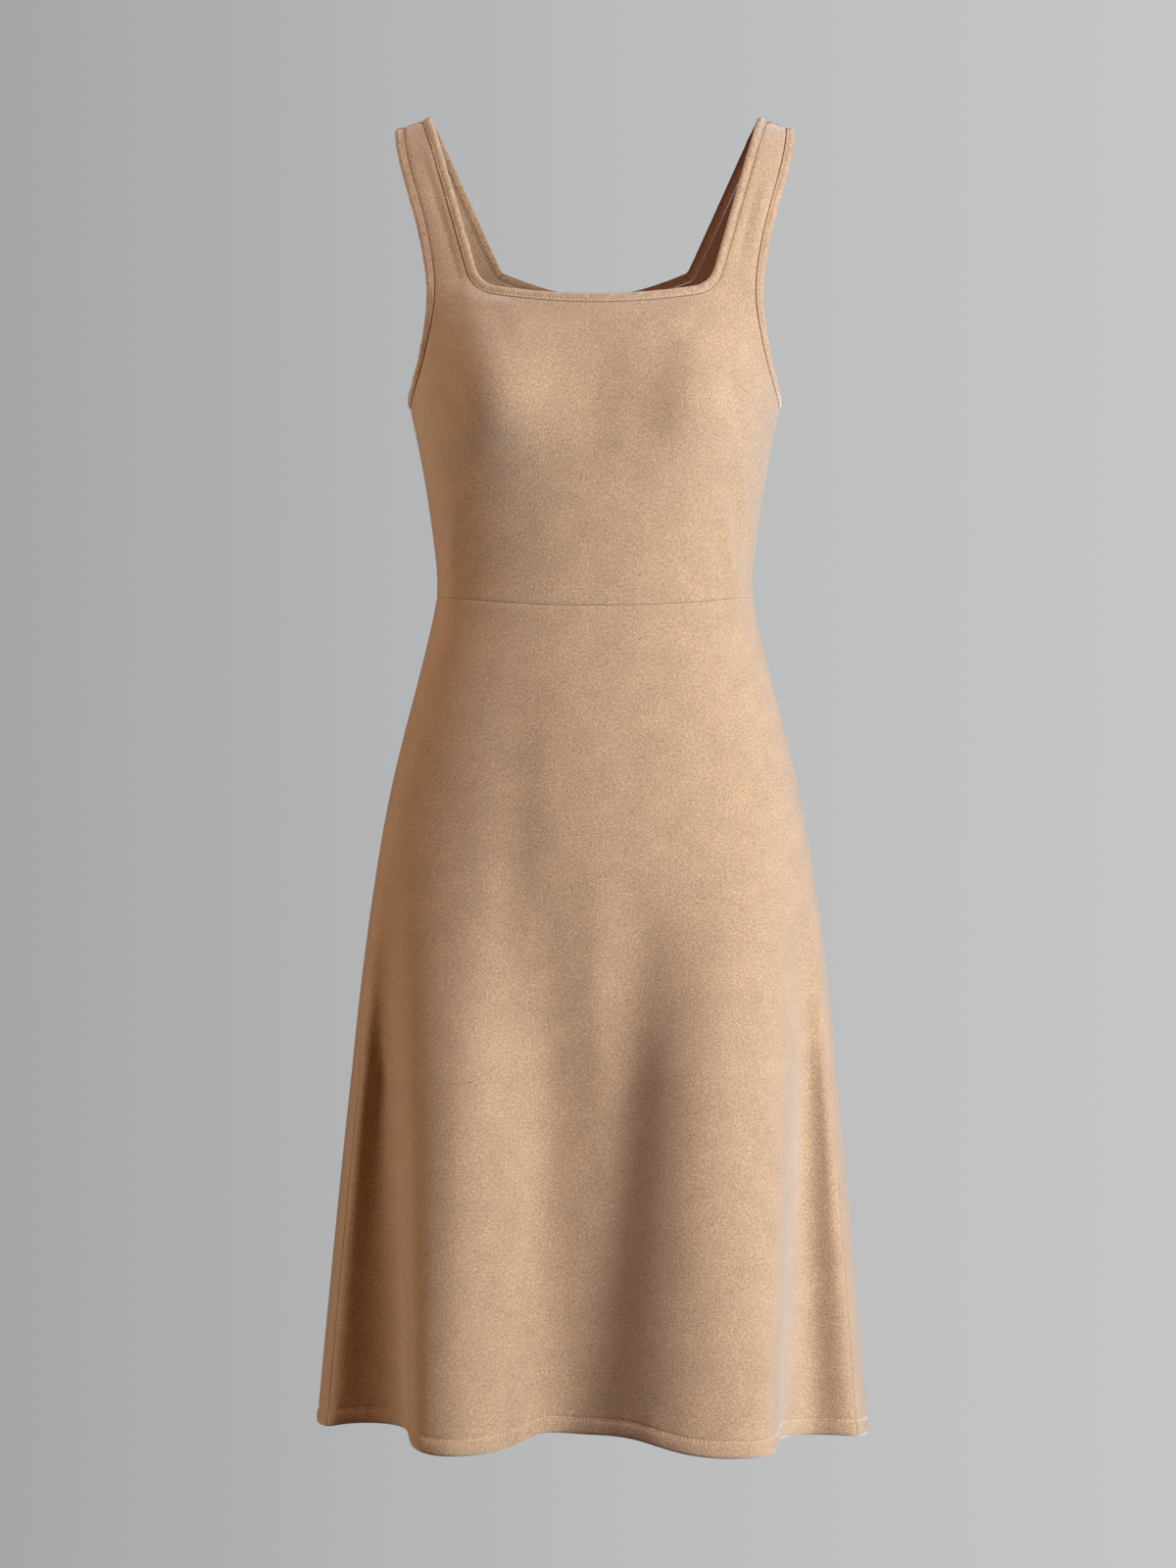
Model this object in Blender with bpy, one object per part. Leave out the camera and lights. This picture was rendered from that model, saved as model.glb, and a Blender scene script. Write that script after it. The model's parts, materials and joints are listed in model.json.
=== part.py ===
"""Pinafore dress: a sleeveless, fitted bodice with a square neck on an A-line skirt.

The dress keeps the hollow form of a general figure, with nobody in it.
X is to the dress's own left, -Y is its front and +Z is up. The origin lies midway
between the two shoulder tops. All sizes are in metres.

Every wall lies on one surface, dress(turn, drop). Turn is the angle round the body,
0 at the centre front and 90 degrees at the side, and drop is the distance below the
shoulder line.
"""

import math
from collections import namedtuple

import bmesh
import bpy
import numpy as np

# Cloth and sewing
WALL = 0.0020
SEAM_GAP = 0.0003
BAND_WIDTH = 0.0075
BAND_THICK = 0.0040
BAND_BEVEL = 0.0012
BAND_FACE = 0.0007
HEM_DEPTH = 0.0140
HEM_WALL = 0.0020

# Shoulders and straps
STRAP_INNER = 0.1415
STRAP_OUTER = 0.1567
SHOULDER_SLOPE = 0.35
SHOULDER_SLOPE_START = 0.1330
SHOULDER_SLOPE_FADE = 0.15

# Front neck: a square neck with rounded corners
NECK_DROP = 0.1630
NECK_RISE = 0.0105
NECK_CORNER = (0.0981, 0.1522)
NECK_CORNER_RUN = 0.0165
FRONT_STRAP_LEAN = 0.283

# Back neck: a shallow curve between two plain corners
BACK_NECK_DROP = 0.1443
BACK_NECK_RISE = 0.0220
BACK_NECK_CORNER = (0.0857, 0.1198)
BACK_NECK_CORNER_RUN = 0.0035
BACK_NECK_CURVE = 1.6
BACK_STRAP_LEAN = 0.4655

# Level of the underarm, where the side seam meets the armhole
UNDERARM_DROP = 0.2400

# Waist seam, side seam and hem
WAIST_DROP = 0.3945
WAIST_FRONT_DIP = 0.0100
WAIST_BACK_DIP = 0.0030
SIDE_SEAM_SHIFT = math.radians(12.0)
SIDE_SEAM_SHIFT_START = 0.56
SIDE_SEAM_SHIFT_END = 0.82
FOLD_START = 0.56
FOLD_MIDDLE = 0.78
HEM_LEVEL = 1.072

# Bust: one soft rise on each side of the front
BUST_SIDE = 0.083
BUST_DROP = 0.238
BUST_RISE = 0.017
BUST_WIDTH = 0.046
BUST_HEIGHT = 0.050

# Level sections of the body, from the shoulder line down to the hem without its folds
Section = namedtuple("Section", "drop half_width front back roundness")
SECTIONS = (
    Section(0.000, 0.1900, 0.0000, 0.0000, 2.30),
    Section(0.012, 0.1895, 0.0275, 0.0290, 2.30),
    Section(0.035, 0.1880, 0.0470, 0.0520, 2.30),
    Section(0.070, 0.1840, 0.0655, 0.0740, 2.30),
    Section(0.110, 0.1780, 0.0810, 0.0875, 2.30),
    Section(0.155, 0.1700, 0.0970, 0.0955, 2.30),
    Section(0.200, 0.1600, 0.1090, 0.0970, 2.30),
    Section(0.240, 0.1515, 0.1140, 0.0945, 2.30),
    Section(0.275, 0.1440, 0.1105, 0.0900, 2.30),
    Section(0.315, 0.1370, 0.1030, 0.0840, 2.30),
    Section(0.355, 0.1315, 0.0960, 0.0795, 2.30),
    Section(0.393, 0.1297, 0.0930, 0.0780, 2.30),
    Section(0.420, 0.1345, 0.0945, 0.0815, 2.30),
    Section(0.465, 0.1455, 0.1000, 0.0930, 2.30),
    Section(0.515, 0.1585, 0.1060, 0.1070, 2.30),
    Section(0.565, 0.1698, 0.1105, 0.1170, 2.30),
    Section(0.628, 0.1807, 0.1145, 0.1230, 2.35),
    Section(0.708, 0.1920, 0.1180, 0.1275, 2.40),
    Section(0.870, 0.2090, 0.1230, 0.1330, 2.40),
    Section(1.085, 0.2275, 0.1270, 0.1380, 2.40),
)

# Folds of the skirt: where each crest and trough lies at knee level and at the hem
Fold = namedtuple("Fold", "turn knee_x knee_y hem_x hem_y hem_drop")
FOLDS = (
    Fold(-90, -0.1995, 0.004, -0.2285, 0.012, 1.0722),
    Fold(-78, -0.1900, -0.053, -0.2180, -0.040, 1.0685),
    Fold(-66, -0.1730, -0.061, -0.1890, -0.057, 1.0635),
    Fold(-56, -0.1590, -0.079, -0.1530, -0.083, 1.0640),
    Fold(-47, -0.1470, -0.103, -0.1450, -0.126, 1.0710),
    Fold(-35, -0.1130, -0.125, -0.1130, -0.149, 1.0752),
    Fold(-21, -0.0690, -0.116, -0.0680, -0.131, 1.0718),
    Fold(-7, -0.0360, -0.103, -0.0420, -0.114, 1.0630),
    Fold(7, 0.0000, -0.1040, -0.0120, -0.1160, 1.0630),
    Fold(21, 0.0430, -0.1205, 0.0300, -0.1440, 1.0630),
    Fold(34, 0.0920, -0.1345, 0.0800, -0.1650, 1.0725),
    Fold(47, 0.1475, -0.105, 0.1400, -0.144, 1.0740),
    Fold(56, 0.1630, -0.072, 0.1480, -0.090, 1.0725),
    Fold(66, 0.1750, -0.056, 0.1760, -0.057, 1.0730),
    Fold(78, 0.1900, -0.048, 0.2120, -0.054, 1.0745),
    Fold(90, 0.1985, 0.004, 0.2240, 0.010, 1.0800),
    Fold(105, 0.1890, 0.040, 0.2060, 0.058, 1.0765),
    Fold(120, 0.1610, 0.077, 0.1670, 0.088, 1.0710),
    Fold(136, 0.1220, 0.113, 0.1260, 0.148, 1.0735),
    Fold(151, 0.0740, 0.125, 0.0700, 0.136, 1.0715),
    Fold(166, 0.0360, 0.131, 0.0340, 0.131, 1.0700),
    Fold(181, -0.0060, 0.138, -0.0040, 0.163, 1.0735),
    Fold(196, -0.0460, 0.130, -0.0460, 0.138, 1.0705),
    Fold(210, -0.0860, 0.121, -0.0850, 0.128, 1.0700),
    Fold(225, -0.1270, 0.110, -0.1310, 0.149, 1.0730),
    Fold(240, -0.1640, 0.075, -0.1710, 0.086, 1.0700),
    Fold(255, -0.1900, 0.038, -0.2090, 0.056, 1.0715),
)

# Armhole edge of the bodice, from the front of the shoulder under the arm to the back
Armhole = namedtuple("Armhole", "side x drop")
ARMHOLE = (
    Armhole("front", STRAP_OUTER, 0.000),
    Armhole("front", 0.1545, 0.022),
    Armhole("front", 0.1440, 0.068),
    Armhole("front", 0.1338, 0.112),
    Armhole("front", 0.1295, 0.145),
    Armhole("front", 0.1325, 0.178),
    Armhole("front", 0.1405, 0.211),
    Armhole("front", 0.1485, 0.233),
    Armhole("under", 0.1515, UNDERARM_DROP),
    Armhole("back", 0.1485, 0.233),
    Armhole("back", 0.1385, 0.211),
    Armhole("back", 0.1260, 0.178),
    Armhole("back", 0.1195, 0.145),
    Armhole("back", 0.1215, 0.108),
    Armhole("back", 0.1345, 0.064),
    Armhole("back", 0.1510, 0.021),
    Armhole("back", STRAP_OUTER, 0.000),
)

# Sizes that spread the points of an edge evenly over the body
BODY_RADIUS = 0.13
SHOULDER_ARCH = 0.25
EDGE_SAMPLES = 400

# Steps of a bodice panel. Its columns run from the centre to the neck corner and on to
# the outer edge. Its rows run up the side seam, round the armhole to the level of the
# neck corner, and up the strap to the shoulder.
NECK_STEPS = 6
CORNER_STEPS = 4
STRAP_COLUMNS = 4
SIDE_STEPS = 4
UNDERARM_STEPS = 5
STRAP_STEPS = 9
CORNER_COLUMN = NECK_STEPS + CORNER_STEPS // 2
SIDE_COLUMN = CORNER_COLUMN + STRAP_COLUMNS
CORNER_ROW = SIDE_STEPS + UNDERARM_STEPS
SHOULDER_ROW = CORNER_ROW + CORNER_STEPS // 2 + STRAP_STEPS

# Steps of a skirt panel
SKIRT_COLUMNS = 36
SKIRT_ROWS = 12

HALF_TURN = math.pi
QUARTER_TURN = math.pi / 2
SHARP_EDGE = math.radians(40.0)

CLOTH_COLOUR = (0.50, 0.30, 0.16, 1.0)
BAND_COLOUR = (0.46, 0.27, 0.14, 1.0)
CLOTH_ROUGHNESS = 0.95


def spline(at, knots, values):
    """Natural cubic spline through values at knots, for an array of places."""
    knots = np.asarray(knots, float)
    values = np.asarray(values, float)
    if values.ndim == 1:
        return spline(at, knots, values[:, None])[..., 0]
    count = len(knots)
    step = np.diff(knots)
    slope = np.diff(values, axis=0) / step[:, None]
    system = np.eye(count)
    right = np.zeros_like(values)
    for i in range(1, count - 1):
        system[i, i - 1 : i + 2] = step[i - 1], 2 * (step[i - 1] + step[i]), step[i]
        right[i] = 6 * (slope[i] - slope[i - 1])
    bend = np.linalg.solve(system, right)
    at = np.asarray(at, float)
    i = np.clip(np.searchsorted(knots, at, side="right") - 1, 0, count - 2)
    width = step[i][..., None]
    ahead = (knots[i + 1] - at)[..., None] / width
    behind = 1 - ahead
    curve = ((ahead**3 - ahead) * bend[i] + (behind**3 - behind) * bend[i + 1]) * width**2 / 6
    return ahead * values[i] + behind * values[i + 1] + curve


def ease(value, start, end):
    """0 before start, 1 after end, and smooth between them."""
    share = np.clip((value - start) / (end - start), 0, 1)
    return share * share * (3 - 2 * share)


def section_at(drop):
    """Half width, front depth, back depth and roundness of the body at a drop."""
    root = np.sqrt(np.maximum(drop, 0))
    rows = spline(root, [math.sqrt(s.drop) for s in SECTIONS], [s[1:] for s in SECTIONS])
    return rows[..., 0], rows[..., 1], rows[..., 2], rows[..., 3]


def oval(turn, drop):
    """Plan of the body at a drop, without its folds: a rounded oval."""
    half_width, front, back, roundness = section_at(drop)
    power = 2 / roundness
    sine = np.sin(turn)
    cosine = np.cos(turn)
    x = half_width * np.sign(sine) * np.abs(sine) ** power
    y = np.where(cosine > 0, -front, back) * np.abs(cosine) ** power
    return x, y


def around(rows):
    """Rows of the fold table repeated once before and once after the full turn."""
    knots = [math.radians(f.turn + 360 * lap) for lap in (-1, 0, 1) for f in FOLDS]
    return knots, list(rows) * 3


def fold_shift(turn, drop):
    """How far the folds move the oval, at knee level and at the hem."""
    knee = spline(turn, *around((f.knee_x, f.knee_y) for f in FOLDS))
    hem = spline(turn, *around((f.hem_x, f.hem_y) for f in FOLDS))
    knee_x, knee_y = oval(turn, np.full_like(turn, FOLD_MIDDLE))
    hem_x, hem_y = oval(turn, np.full_like(turn, HEM_LEVEL))
    start = ease(drop, FOLD_START, 2 * FOLD_MIDDLE - FOLD_START)
    first = np.where(drop < FOLD_MIDDLE, 2 * start, 1.0)
    second = np.maximum(drop - FOLD_MIDDLE, 0) / (HEM_LEVEL - FOLD_MIDDLE)
    shift_x = first * (1 - second) * (knee[..., 0] - knee_x) + second * (hem[..., 0] - hem_x)
    shift_y = first * (1 - second) * (knee[..., 1] - knee_y) + second * (hem[..., 1] - hem_y)
    return shift_x, shift_y


def dress(turn, drop):
    """Point of the dress's outer face at a turn round the body and a drop."""
    turn, drop = np.broadcast_arrays(np.asarray(turn, float), np.asarray(drop, float))
    x, y = oval(turn, drop)
    shift_x, shift_y = fold_shift(turn, drop)
    across = (np.abs(x) - BUST_SIDE) / BUST_WIDTH
    down = (drop - BUST_DROP) / BUST_HEIGHT
    bust = BUST_RISE * np.exp(-(across**2) - down**2) * np.clip(2 * np.cos(turn), 0, 1)
    fade = 1 - ease(drop, 0, SHOULDER_SLOPE_FADE)
    slope = SHOULDER_SLOPE * np.maximum(np.abs(x) - SHOULDER_SLOPE_START, 0) * fade
    return np.stack([x + shift_x, y + shift_y - bust, -drop - slope], axis=-1)


def outward(turn, drop):
    """Unit normal of the dress's outer face."""
    turn_step = 0.004
    root_step = 0.002
    root = np.sqrt(np.maximum(drop, 0))
    lower = (root + root_step) ** 2
    upper = np.maximum(root - root_step, 0) ** 2
    down = dress(turn, lower) - dress(turn, upper)
    round_body = dress(turn + turn_step, drop) - dress(turn - turn_step, drop)
    normal = np.cross(down, round_body)
    return normal / np.linalg.norm(normal, axis=-1, keepdims=True)


def turn_of(x, drop):
    """Turn from the middle of a panel at which the body has the half width x."""
    half_width, _, _, roundness = section_at(drop)
    return np.arcsin(np.clip(np.abs(x) / half_width, 0, 1) ** (roundness / 2))


def armhole_edge(side, corner_drop):
    """Half of the armhole, from under the arm to the shoulder, level with the neck corner
    at the row of that corner."""
    rows = [row for row in ARMHOLE if row.side in (side, "under")]
    if side == "front":
        rows.reverse()
    drops = np.array([row.drop for row in rows])
    turns = np.array([float(turn_of(row.x, row.drop)) for row in rows])
    turns[0] = QUARTER_TURN
    # one more row beyond each end, mirrored, keeps the loop smooth there
    turns = np.concatenate([[2 * turns[0] - turns[1]], turns, turns[-2:-1]])
    roots = np.sqrt(drops)
    roots = np.concatenate([roots[1:2], roots, -roots[-2:-1]])
    strides = np.hypot(BODY_RADIUS * np.diff(turns), SHOULDER_ARCH * np.diff(roots))
    length = np.concatenate([[0], np.cumsum(strides)])
    knots = np.column_stack([turns, roots])
    places = np.linspace(length[1], length[-2], EDGE_SAMPLES)
    place_roots = spline(places, length, knots)[:, 1]
    level = np.interp(math.sqrt(corner_drop), place_roots[::-1], places[::-1])
    low = np.linspace(length[1], level, UNDERARM_STEPS + 1)
    high = np.linspace(level, length[-2], SHOULDER_ROW - CORNER_ROW + 1)
    turn, root = spline(np.concatenate([low, high[1:]]), length, knots).T
    return turn, root**2


def rounded(start, corner, end, steps):
    """Points of a soft corner between two edges that meet at it."""
    share = np.linspace(0, 1, steps + 1)[:, None]
    start, corner, end = np.array([start, corner, end])
    return (1 - share) ** 2 * start + 2 * share * (1 - share) * corner + share**2 * end


def neck_drop(x, side):
    """Drop of the neck edge between its corners."""
    if side == "front":
        return NECK_DROP - NECK_RISE * (x / NECK_CORNER[0]) ** 2
    return BACK_NECK_DROP - BACK_NECK_RISE * (x / BACK_NECK_CORNER[0]) ** BACK_NECK_CURVE


def inner_edge(side):
    """Turns and drops from the centre of the neck, round its corner and up the strap."""
    front = side == "front"
    corner = NECK_CORNER if front else BACK_NECK_CORNER
    run = NECK_CORNER_RUN if front else BACK_NECK_CORNER_RUN
    lean = FRONT_STRAP_LEAN if front else BACK_STRAP_LEAN
    neck_x = np.linspace(0, corner[0] - run, NECK_STEPS + 1)
    neck = np.column_stack([neck_x, neck_drop(neck_x, side)])
    strap_root = np.linspace(math.sqrt(corner[1] - run), 0, STRAP_STEPS + 1)
    strap = np.column_stack([STRAP_INNER - lean * strap_root**2, strap_root**2])
    bend = rounded(neck[-1], corner, strap[0], CORNER_STEPS)
    edge = np.concatenate([neck, bend[1:], strap[1:]])
    return turn_of(edge[:, 0], edge[:, 1]), edge[:, 1]


def waist_drop(turn):
    """Drop of the waist seam, which dips towards the centre front."""
    dip = np.where(np.cos(turn) > 0, WAIST_FRONT_DIP, WAIST_BACK_DIP)
    return WAIST_DROP + dip * np.cos(turn) ** 2


def half_panel(side):
    """Turns and drops of half a bodice panel, by row and column, the turns counted from
    its middle. The cells above the neck edge are empty and are left out later."""
    neck_turn, neck_depth = inner_edge(side)
    arm_turn, arm_depth = armhole_edge(side, neck_depth[CORNER_COLUMN])
    side_depth = np.linspace(WAIST_DROP, UNDERARM_DROP, SIDE_STEPS + 1)
    outer_turn = np.concatenate([np.full(SIDE_STEPS, QUARTER_TURN), arm_turn])
    outer_depth = np.concatenate([side_depth[:-1], arm_depth])
    share = np.linspace(0, 1, STRAP_COLUMNS + 1)[None, :]
    # the strap and the cloth level with it: straight across from edge to edge
    inner = slice(CORNER_COLUMN, None)
    outer = slice(CORNER_ROW, None)
    strap_turn = (1 - share) * neck_turn[inner, None] + share * outer_turn[outer, None]
    inner_root = np.sqrt(neck_depth[inner, None])
    outer_root = np.sqrt(outer_depth[outer, None])
    strap_root = (1 - share) * inner_root + share * outer_root
    # the cloth below: each column falls from the top row to the waist
    top_turn = np.concatenate([neck_turn[:CORNER_COLUMN], strap_turn[0]])
    top_depth = np.concatenate([neck_depth[:CORNER_COLUMN], strap_root[0] ** 2])
    rise = (WAIST_DROP - outer_depth) / (WAIST_DROP - outer_depth[CORNER_ROW])
    rise = rise[: CORNER_ROW + 1, None]
    even = np.linspace(0, 1, SIDE_COLUMN + 1)
    place = (1 - rise) * even + rise * top_turn / top_turn[-1]
    low_turn = place * outer_turn[: CORNER_ROW + 1, None]
    seam_turn = low_turn if side == "front" else HALF_TURN - low_turn
    low_depth = (1 - rise) * waist_drop(seam_turn) + rise * top_depth
    turn = np.zeros((SHOULDER_ROW + 1, SIDE_COLUMN + 1))
    depth = np.zeros_like(turn)
    turn[CORNER_ROW:, CORNER_COLUMN:] = strap_turn
    depth[CORNER_ROW:, CORNER_COLUMN:] = strap_root**2
    turn[: CORNER_ROW + 1] = low_turn
    depth[: CORNER_ROW + 1] = low_depth
    return turn, depth


def bodice_grid(side):
    """Turns and drops of a whole bodice panel, from its right side to its left."""
    turn, drop = half_panel(side)
    turn = np.concatenate([-turn[:, :0:-1], turn], axis=1)
    drop = np.concatenate([drop[:, :0:-1], drop], axis=1)
    return turn if side == "front" else HALF_TURN - turn, drop


def bodice_cells():
    """The cells of a bodice panel that hold cloth: all but those above the neck edge."""
    row, column = np.mgrid[:SHOULDER_ROW, : 2 * SIDE_COLUMN]
    from_middle = np.abs(column + 0.5 - SIDE_COLUMN)
    return (row < CORNER_ROW) | (from_middle > CORNER_COLUMN)


def part_from_seams(points, side):
    """Moves the edge points of a bodice panel half a seam gap off each seam."""
    half = SEAM_GAP / 2
    to_panel = -half if side == "front" else half
    points[-1, :, 1] = to_panel
    for edge in (0, -1):
        points[: SIDE_STEPS + 1, edge, 1] = to_panel
    points[0, :, 2] += half
    return points


def bodice_walls(side):
    """Outer face, inner face and normals of a bodice panel."""
    turn, drop = bodice_grid(side)
    normal = outward(turn, drop)
    outer = dress(turn, drop)
    inner = outer - WALL * normal
    return part_from_seams(outer, side), part_from_seams(inner, side), normal


def neck_path(grid):
    """Values of a panel's grid down one strap, along the neck and up the other strap."""
    left = SIDE_COLUMN - CORNER_COLUMN
    right = SIDE_COLUMN + CORNER_COLUMN
    down = grid[:CORNER_ROW:-1, left]
    up = grid[CORNER_ROW + 1 :, right]
    return np.concatenate([down, grid[CORNER_ROW, left : right + 1], up])


def armhole_path(front, back, column):
    """Values of both panels' grids all round an armhole, from under the arm."""
    rising = front[SIDE_STEPS:, column]
    falling = back[SIDE_STEPS:, column][::-1]
    shoulder = (rising[-1:] + falling[:1]) / 2
    under = (rising[:1] + falling[-1:]) / 2
    return np.concatenate([under, rising[1:-1], shoulder, falling[1:-1]])


def side_seam(drop):
    """Turn of the side seam, which swings to the front below the hips."""
    return QUARTER_TURN - SIDE_SEAM_SHIFT * ease(drop, SIDE_SEAM_SHIFT_START, SIDE_SEAM_SHIFT_END)


def skirt_grid(side):
    """Turns and drops of a skirt panel, from the waist seam down to the hem."""
    across = np.linspace(-1, 1, SKIRT_COLUMNS + 1)[None, :]
    level = np.linspace(WAIST_DROP, HEM_LEVEL - HEM_DEPTH, SKIRT_ROWS)[:, None]
    level = np.concatenate([level, [[HEM_LEVEL]]])
    half_front = side_seam(level)
    half_span = half_front if side == "front" else HALF_TURN - half_front
    middle = 0.0 if side == "front" else HALF_TURN
    turn = middle + across * half_span
    hem = spline(turn, *around((f.hem_drop,) for f in FOLDS))[..., 0]
    share = (level - WAIST_DROP) / (HEM_LEVEL - WAIST_DROP)
    drop = (1 - share) * waist_drop(turn) + share * hem
    return turn, drop


def skirt_walls(side):
    """Outer face, inner face and normals of a skirt panel, clear of its seams."""
    turn, drop = skirt_grid(side)
    normal = outward(turn, drop)
    outer = dress(turn, drop)
    half = SEAM_GAP / 2
    for edge, beside in ((0, 1), (-1, -2)):
        across = outer[:, beside] - outer[:, edge]
        across /= np.linalg.norm(across, axis=-1, keepdims=True)
        outer[:, edge] += half * across
    outer[0, :, 2] -= half
    return outer, outer - WALL * normal, normal


def make_material(name, colour):
    material = bpy.data.materials.new(name)
    material.use_nodes = True
    shader = material.node_tree.nodes["Principled BSDF"]
    shader.inputs["Base Color"].default_value = colour
    shader.inputs["Roughness"].default_value = CLOTH_ROUGHNESS
    shader.inputs["Metallic"].default_value = 0.0
    return material


def add_object(name, points, faces, colour):
    """One closed solid with its faces out, smooth but for its sharp rims."""
    mesh = bpy.data.meshes.new(name)
    mesh.from_pydata([tuple(p) for p in points.tolist()], [], faces)
    model = bmesh.new()
    model.from_mesh(mesh)
    bmesh.ops.recalc_face_normals(model, faces=model.faces)
    model.to_mesh(mesh)
    model.free()
    mesh.shade_smooth()
    mesh.set_sharp_from_angle(angle=SHARP_EDGE)
    mesh.materials.append(make_material(name, colour))
    made = bpy.data.objects.new(name, mesh)
    bpy.context.scene.collection.objects.link(made)
    return made


def add_wall(name, outer, inner, colour, cells=None):
    """A cloth wall between two grids of points, closed all round its rim."""
    rows, columns = outer.shape[:2]
    points = np.concatenate([outer.reshape(-1, 3), inner.reshape(-1, 3)])
    count = rows * columns
    sheet = []
    for i in range(rows - 1):
        for j in range(columns - 1):
            if cells is None or cells[i, j]:
                first = i * columns + j
                sheet.append((first, first + 1, first + columns + 1, first + columns))
    sides = {(face[k], face[k - 3]) for face in sheet for k in range(4)}
    rim = [(a, b) for a, b in sides if (b, a) not in sides]
    faces = sheet + [tuple(count + k for k in reversed(face)) for face in sheet]
    faces += [(b, a, count + a, count + b) for a, b in sorted(rim)]
    used = sorted({k for face in faces for k in face})
    number = {k: i for i, k in enumerate(used)}
    faces = [tuple(number[k] for k in face) for face in faces]
    return add_object(name, points[used], faces, colour)


def band_section():
    """Section of the rolled band: (way out from the edge, height over the mid-wall)."""
    half = BAND_THICK / 2
    near = SEAM_GAP
    far = SEAM_GAP + BAND_WIDTH
    return (
        (near, -BAND_BEVEL),
        (near + BAND_BEVEL, -half),
        (far - BAND_BEVEL, -half),
        (far, -BAND_FACE),
        (far, BAND_FACE),
        (far - BAND_BEVEL, half),
        (near + BAND_BEVEL, half),
        (near, BAND_BEVEL),
    )


def add_band(name, edge, normal, closed, towards):
    """A rolled band carried along a panel's edge; towards is a point on its open side."""
    if closed:
        along = np.roll(edge, -1, axis=0) - np.roll(edge, 1, axis=0)
    else:
        along = np.gradient(edge, axis=0)
    out = np.cross(along, normal)
    out /= np.linalg.norm(out, axis=-1, keepdims=True)
    if np.sum(out * (towards - edge)) < 0:
        out = -out
    section = band_section()
    rings = []
    for way, height in section:
        rings.append(edge + way * out + (height - WALL / 2) * normal)
    rings = np.stack(rings, axis=1)
    if not closed:
        rings[[0, -1], :, 1] = edge[[0, -1], 1][:, None]
    count, size = rings.shape[:2]
    faces = []
    for i in range(count if closed else count - 1):
        after = (i + 1) % count
        for j in range(size):
            next_j = (j + 1) % size
            faces.append([i * size + j, i * size + next_j, after * size + next_j, after * size + j])
    if not closed:
        faces.append([j for j in range(size)])
        faces.append([(count - 1) * size + j for j in reversed(range(size))])
    return add_object(name, rings.reshape(-1, 3), faces, BAND_COLOUR)


def add_hem(name, outer, normal):
    """The turned-up hem: a strip inside the skirt's lowest row."""
    near = WALL + SEAM_GAP
    strip = outer[-2:]
    inward = normal[-2:]
    return add_wall(name, strip - near * inward, strip - (near + HEM_WALL) * inward, BAND_COLOUR)


def clear_scene():
    for old in list(bpy.data.objects):
        bpy.data.objects.remove(old, do_unlink=True)


def build():
    clear_scene()
    bodice = {side: bodice_walls(side) for side in ("front", "back")}
    for side, (outer, inner, normal) in bodice.items():
        add_wall("bodice_" + side, outer, inner, CLOTH_COLOUR, bodice_cells())
        edge = neck_path(outer)
        add_band("neck_band_" + side, edge, neck_path(normal), False, edge.mean(axis=0))
    for name, column in (("armhole_band_left", -1), ("armhole_band_right", 0)):
        edge = armhole_path(bodice["front"][0], bodice["back"][0], column)
        normal = armhole_path(bodice["front"][2], bodice["back"][2], column)
        normal /= np.linalg.norm(normal, axis=-1, keepdims=True)
        add_band(name, edge, normal, True, edge.mean(axis=0))
    for side in ("front", "back"):
        outer, inner, normal = skirt_walls(side)
        add_wall("skirt_" + side, outer, inner, CLOTH_COLOUR)
        add_hem("hem_" + side, outer, normal)


build()
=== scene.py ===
"""Pinafore dress in brushed camel wool, kept in the hollow form of a general figure.

X is to the dress's own left, -Y is its front and +Z is up. The origin lies midway
between the shoulder tops, and all lengths are in metres.

Every panel is a wall on one surface, form(turn, drop). Turn is the angle round the
body, 0 at the centre front and 90 degrees at the left side. Drop is the distance below
the shoulder line.
"""

import json
import math
from collections import namedtuple

import bpy
import numpy as np
from bpy.props import FloatProperty, FloatVectorProperty, PointerProperty
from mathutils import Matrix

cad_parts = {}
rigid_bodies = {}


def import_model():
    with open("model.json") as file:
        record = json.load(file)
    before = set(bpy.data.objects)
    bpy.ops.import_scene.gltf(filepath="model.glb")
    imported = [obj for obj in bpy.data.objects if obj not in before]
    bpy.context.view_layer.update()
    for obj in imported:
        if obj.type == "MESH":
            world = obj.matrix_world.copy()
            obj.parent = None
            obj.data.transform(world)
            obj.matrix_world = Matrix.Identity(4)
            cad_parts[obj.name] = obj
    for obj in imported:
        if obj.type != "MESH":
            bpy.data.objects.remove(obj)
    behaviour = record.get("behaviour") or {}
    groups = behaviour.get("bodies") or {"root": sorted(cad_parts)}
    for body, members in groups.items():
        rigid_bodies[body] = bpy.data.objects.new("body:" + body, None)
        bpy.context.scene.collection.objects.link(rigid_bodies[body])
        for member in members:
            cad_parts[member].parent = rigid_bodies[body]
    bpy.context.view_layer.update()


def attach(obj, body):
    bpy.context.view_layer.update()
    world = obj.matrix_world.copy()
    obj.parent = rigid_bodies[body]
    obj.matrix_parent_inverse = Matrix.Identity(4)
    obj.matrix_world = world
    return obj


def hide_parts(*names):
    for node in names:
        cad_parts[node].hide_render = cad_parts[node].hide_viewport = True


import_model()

bl_info = {
    "name": "Pinafore Dress",
    "version": (1, 0, 0),
    "blender": (4, 5, 0),
    "location": "View3D > Sidebar > Dress",
    "description": "Builds a sleeveless wool pinafore dress and its plain studio",
    "category": "Add Mesh",
}

HALF_TURN = math.pi
QUARTER_TURN = math.pi / 2
MIDDLE_TURN = {"front": 0.0, "back": HALF_TURN}

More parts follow.
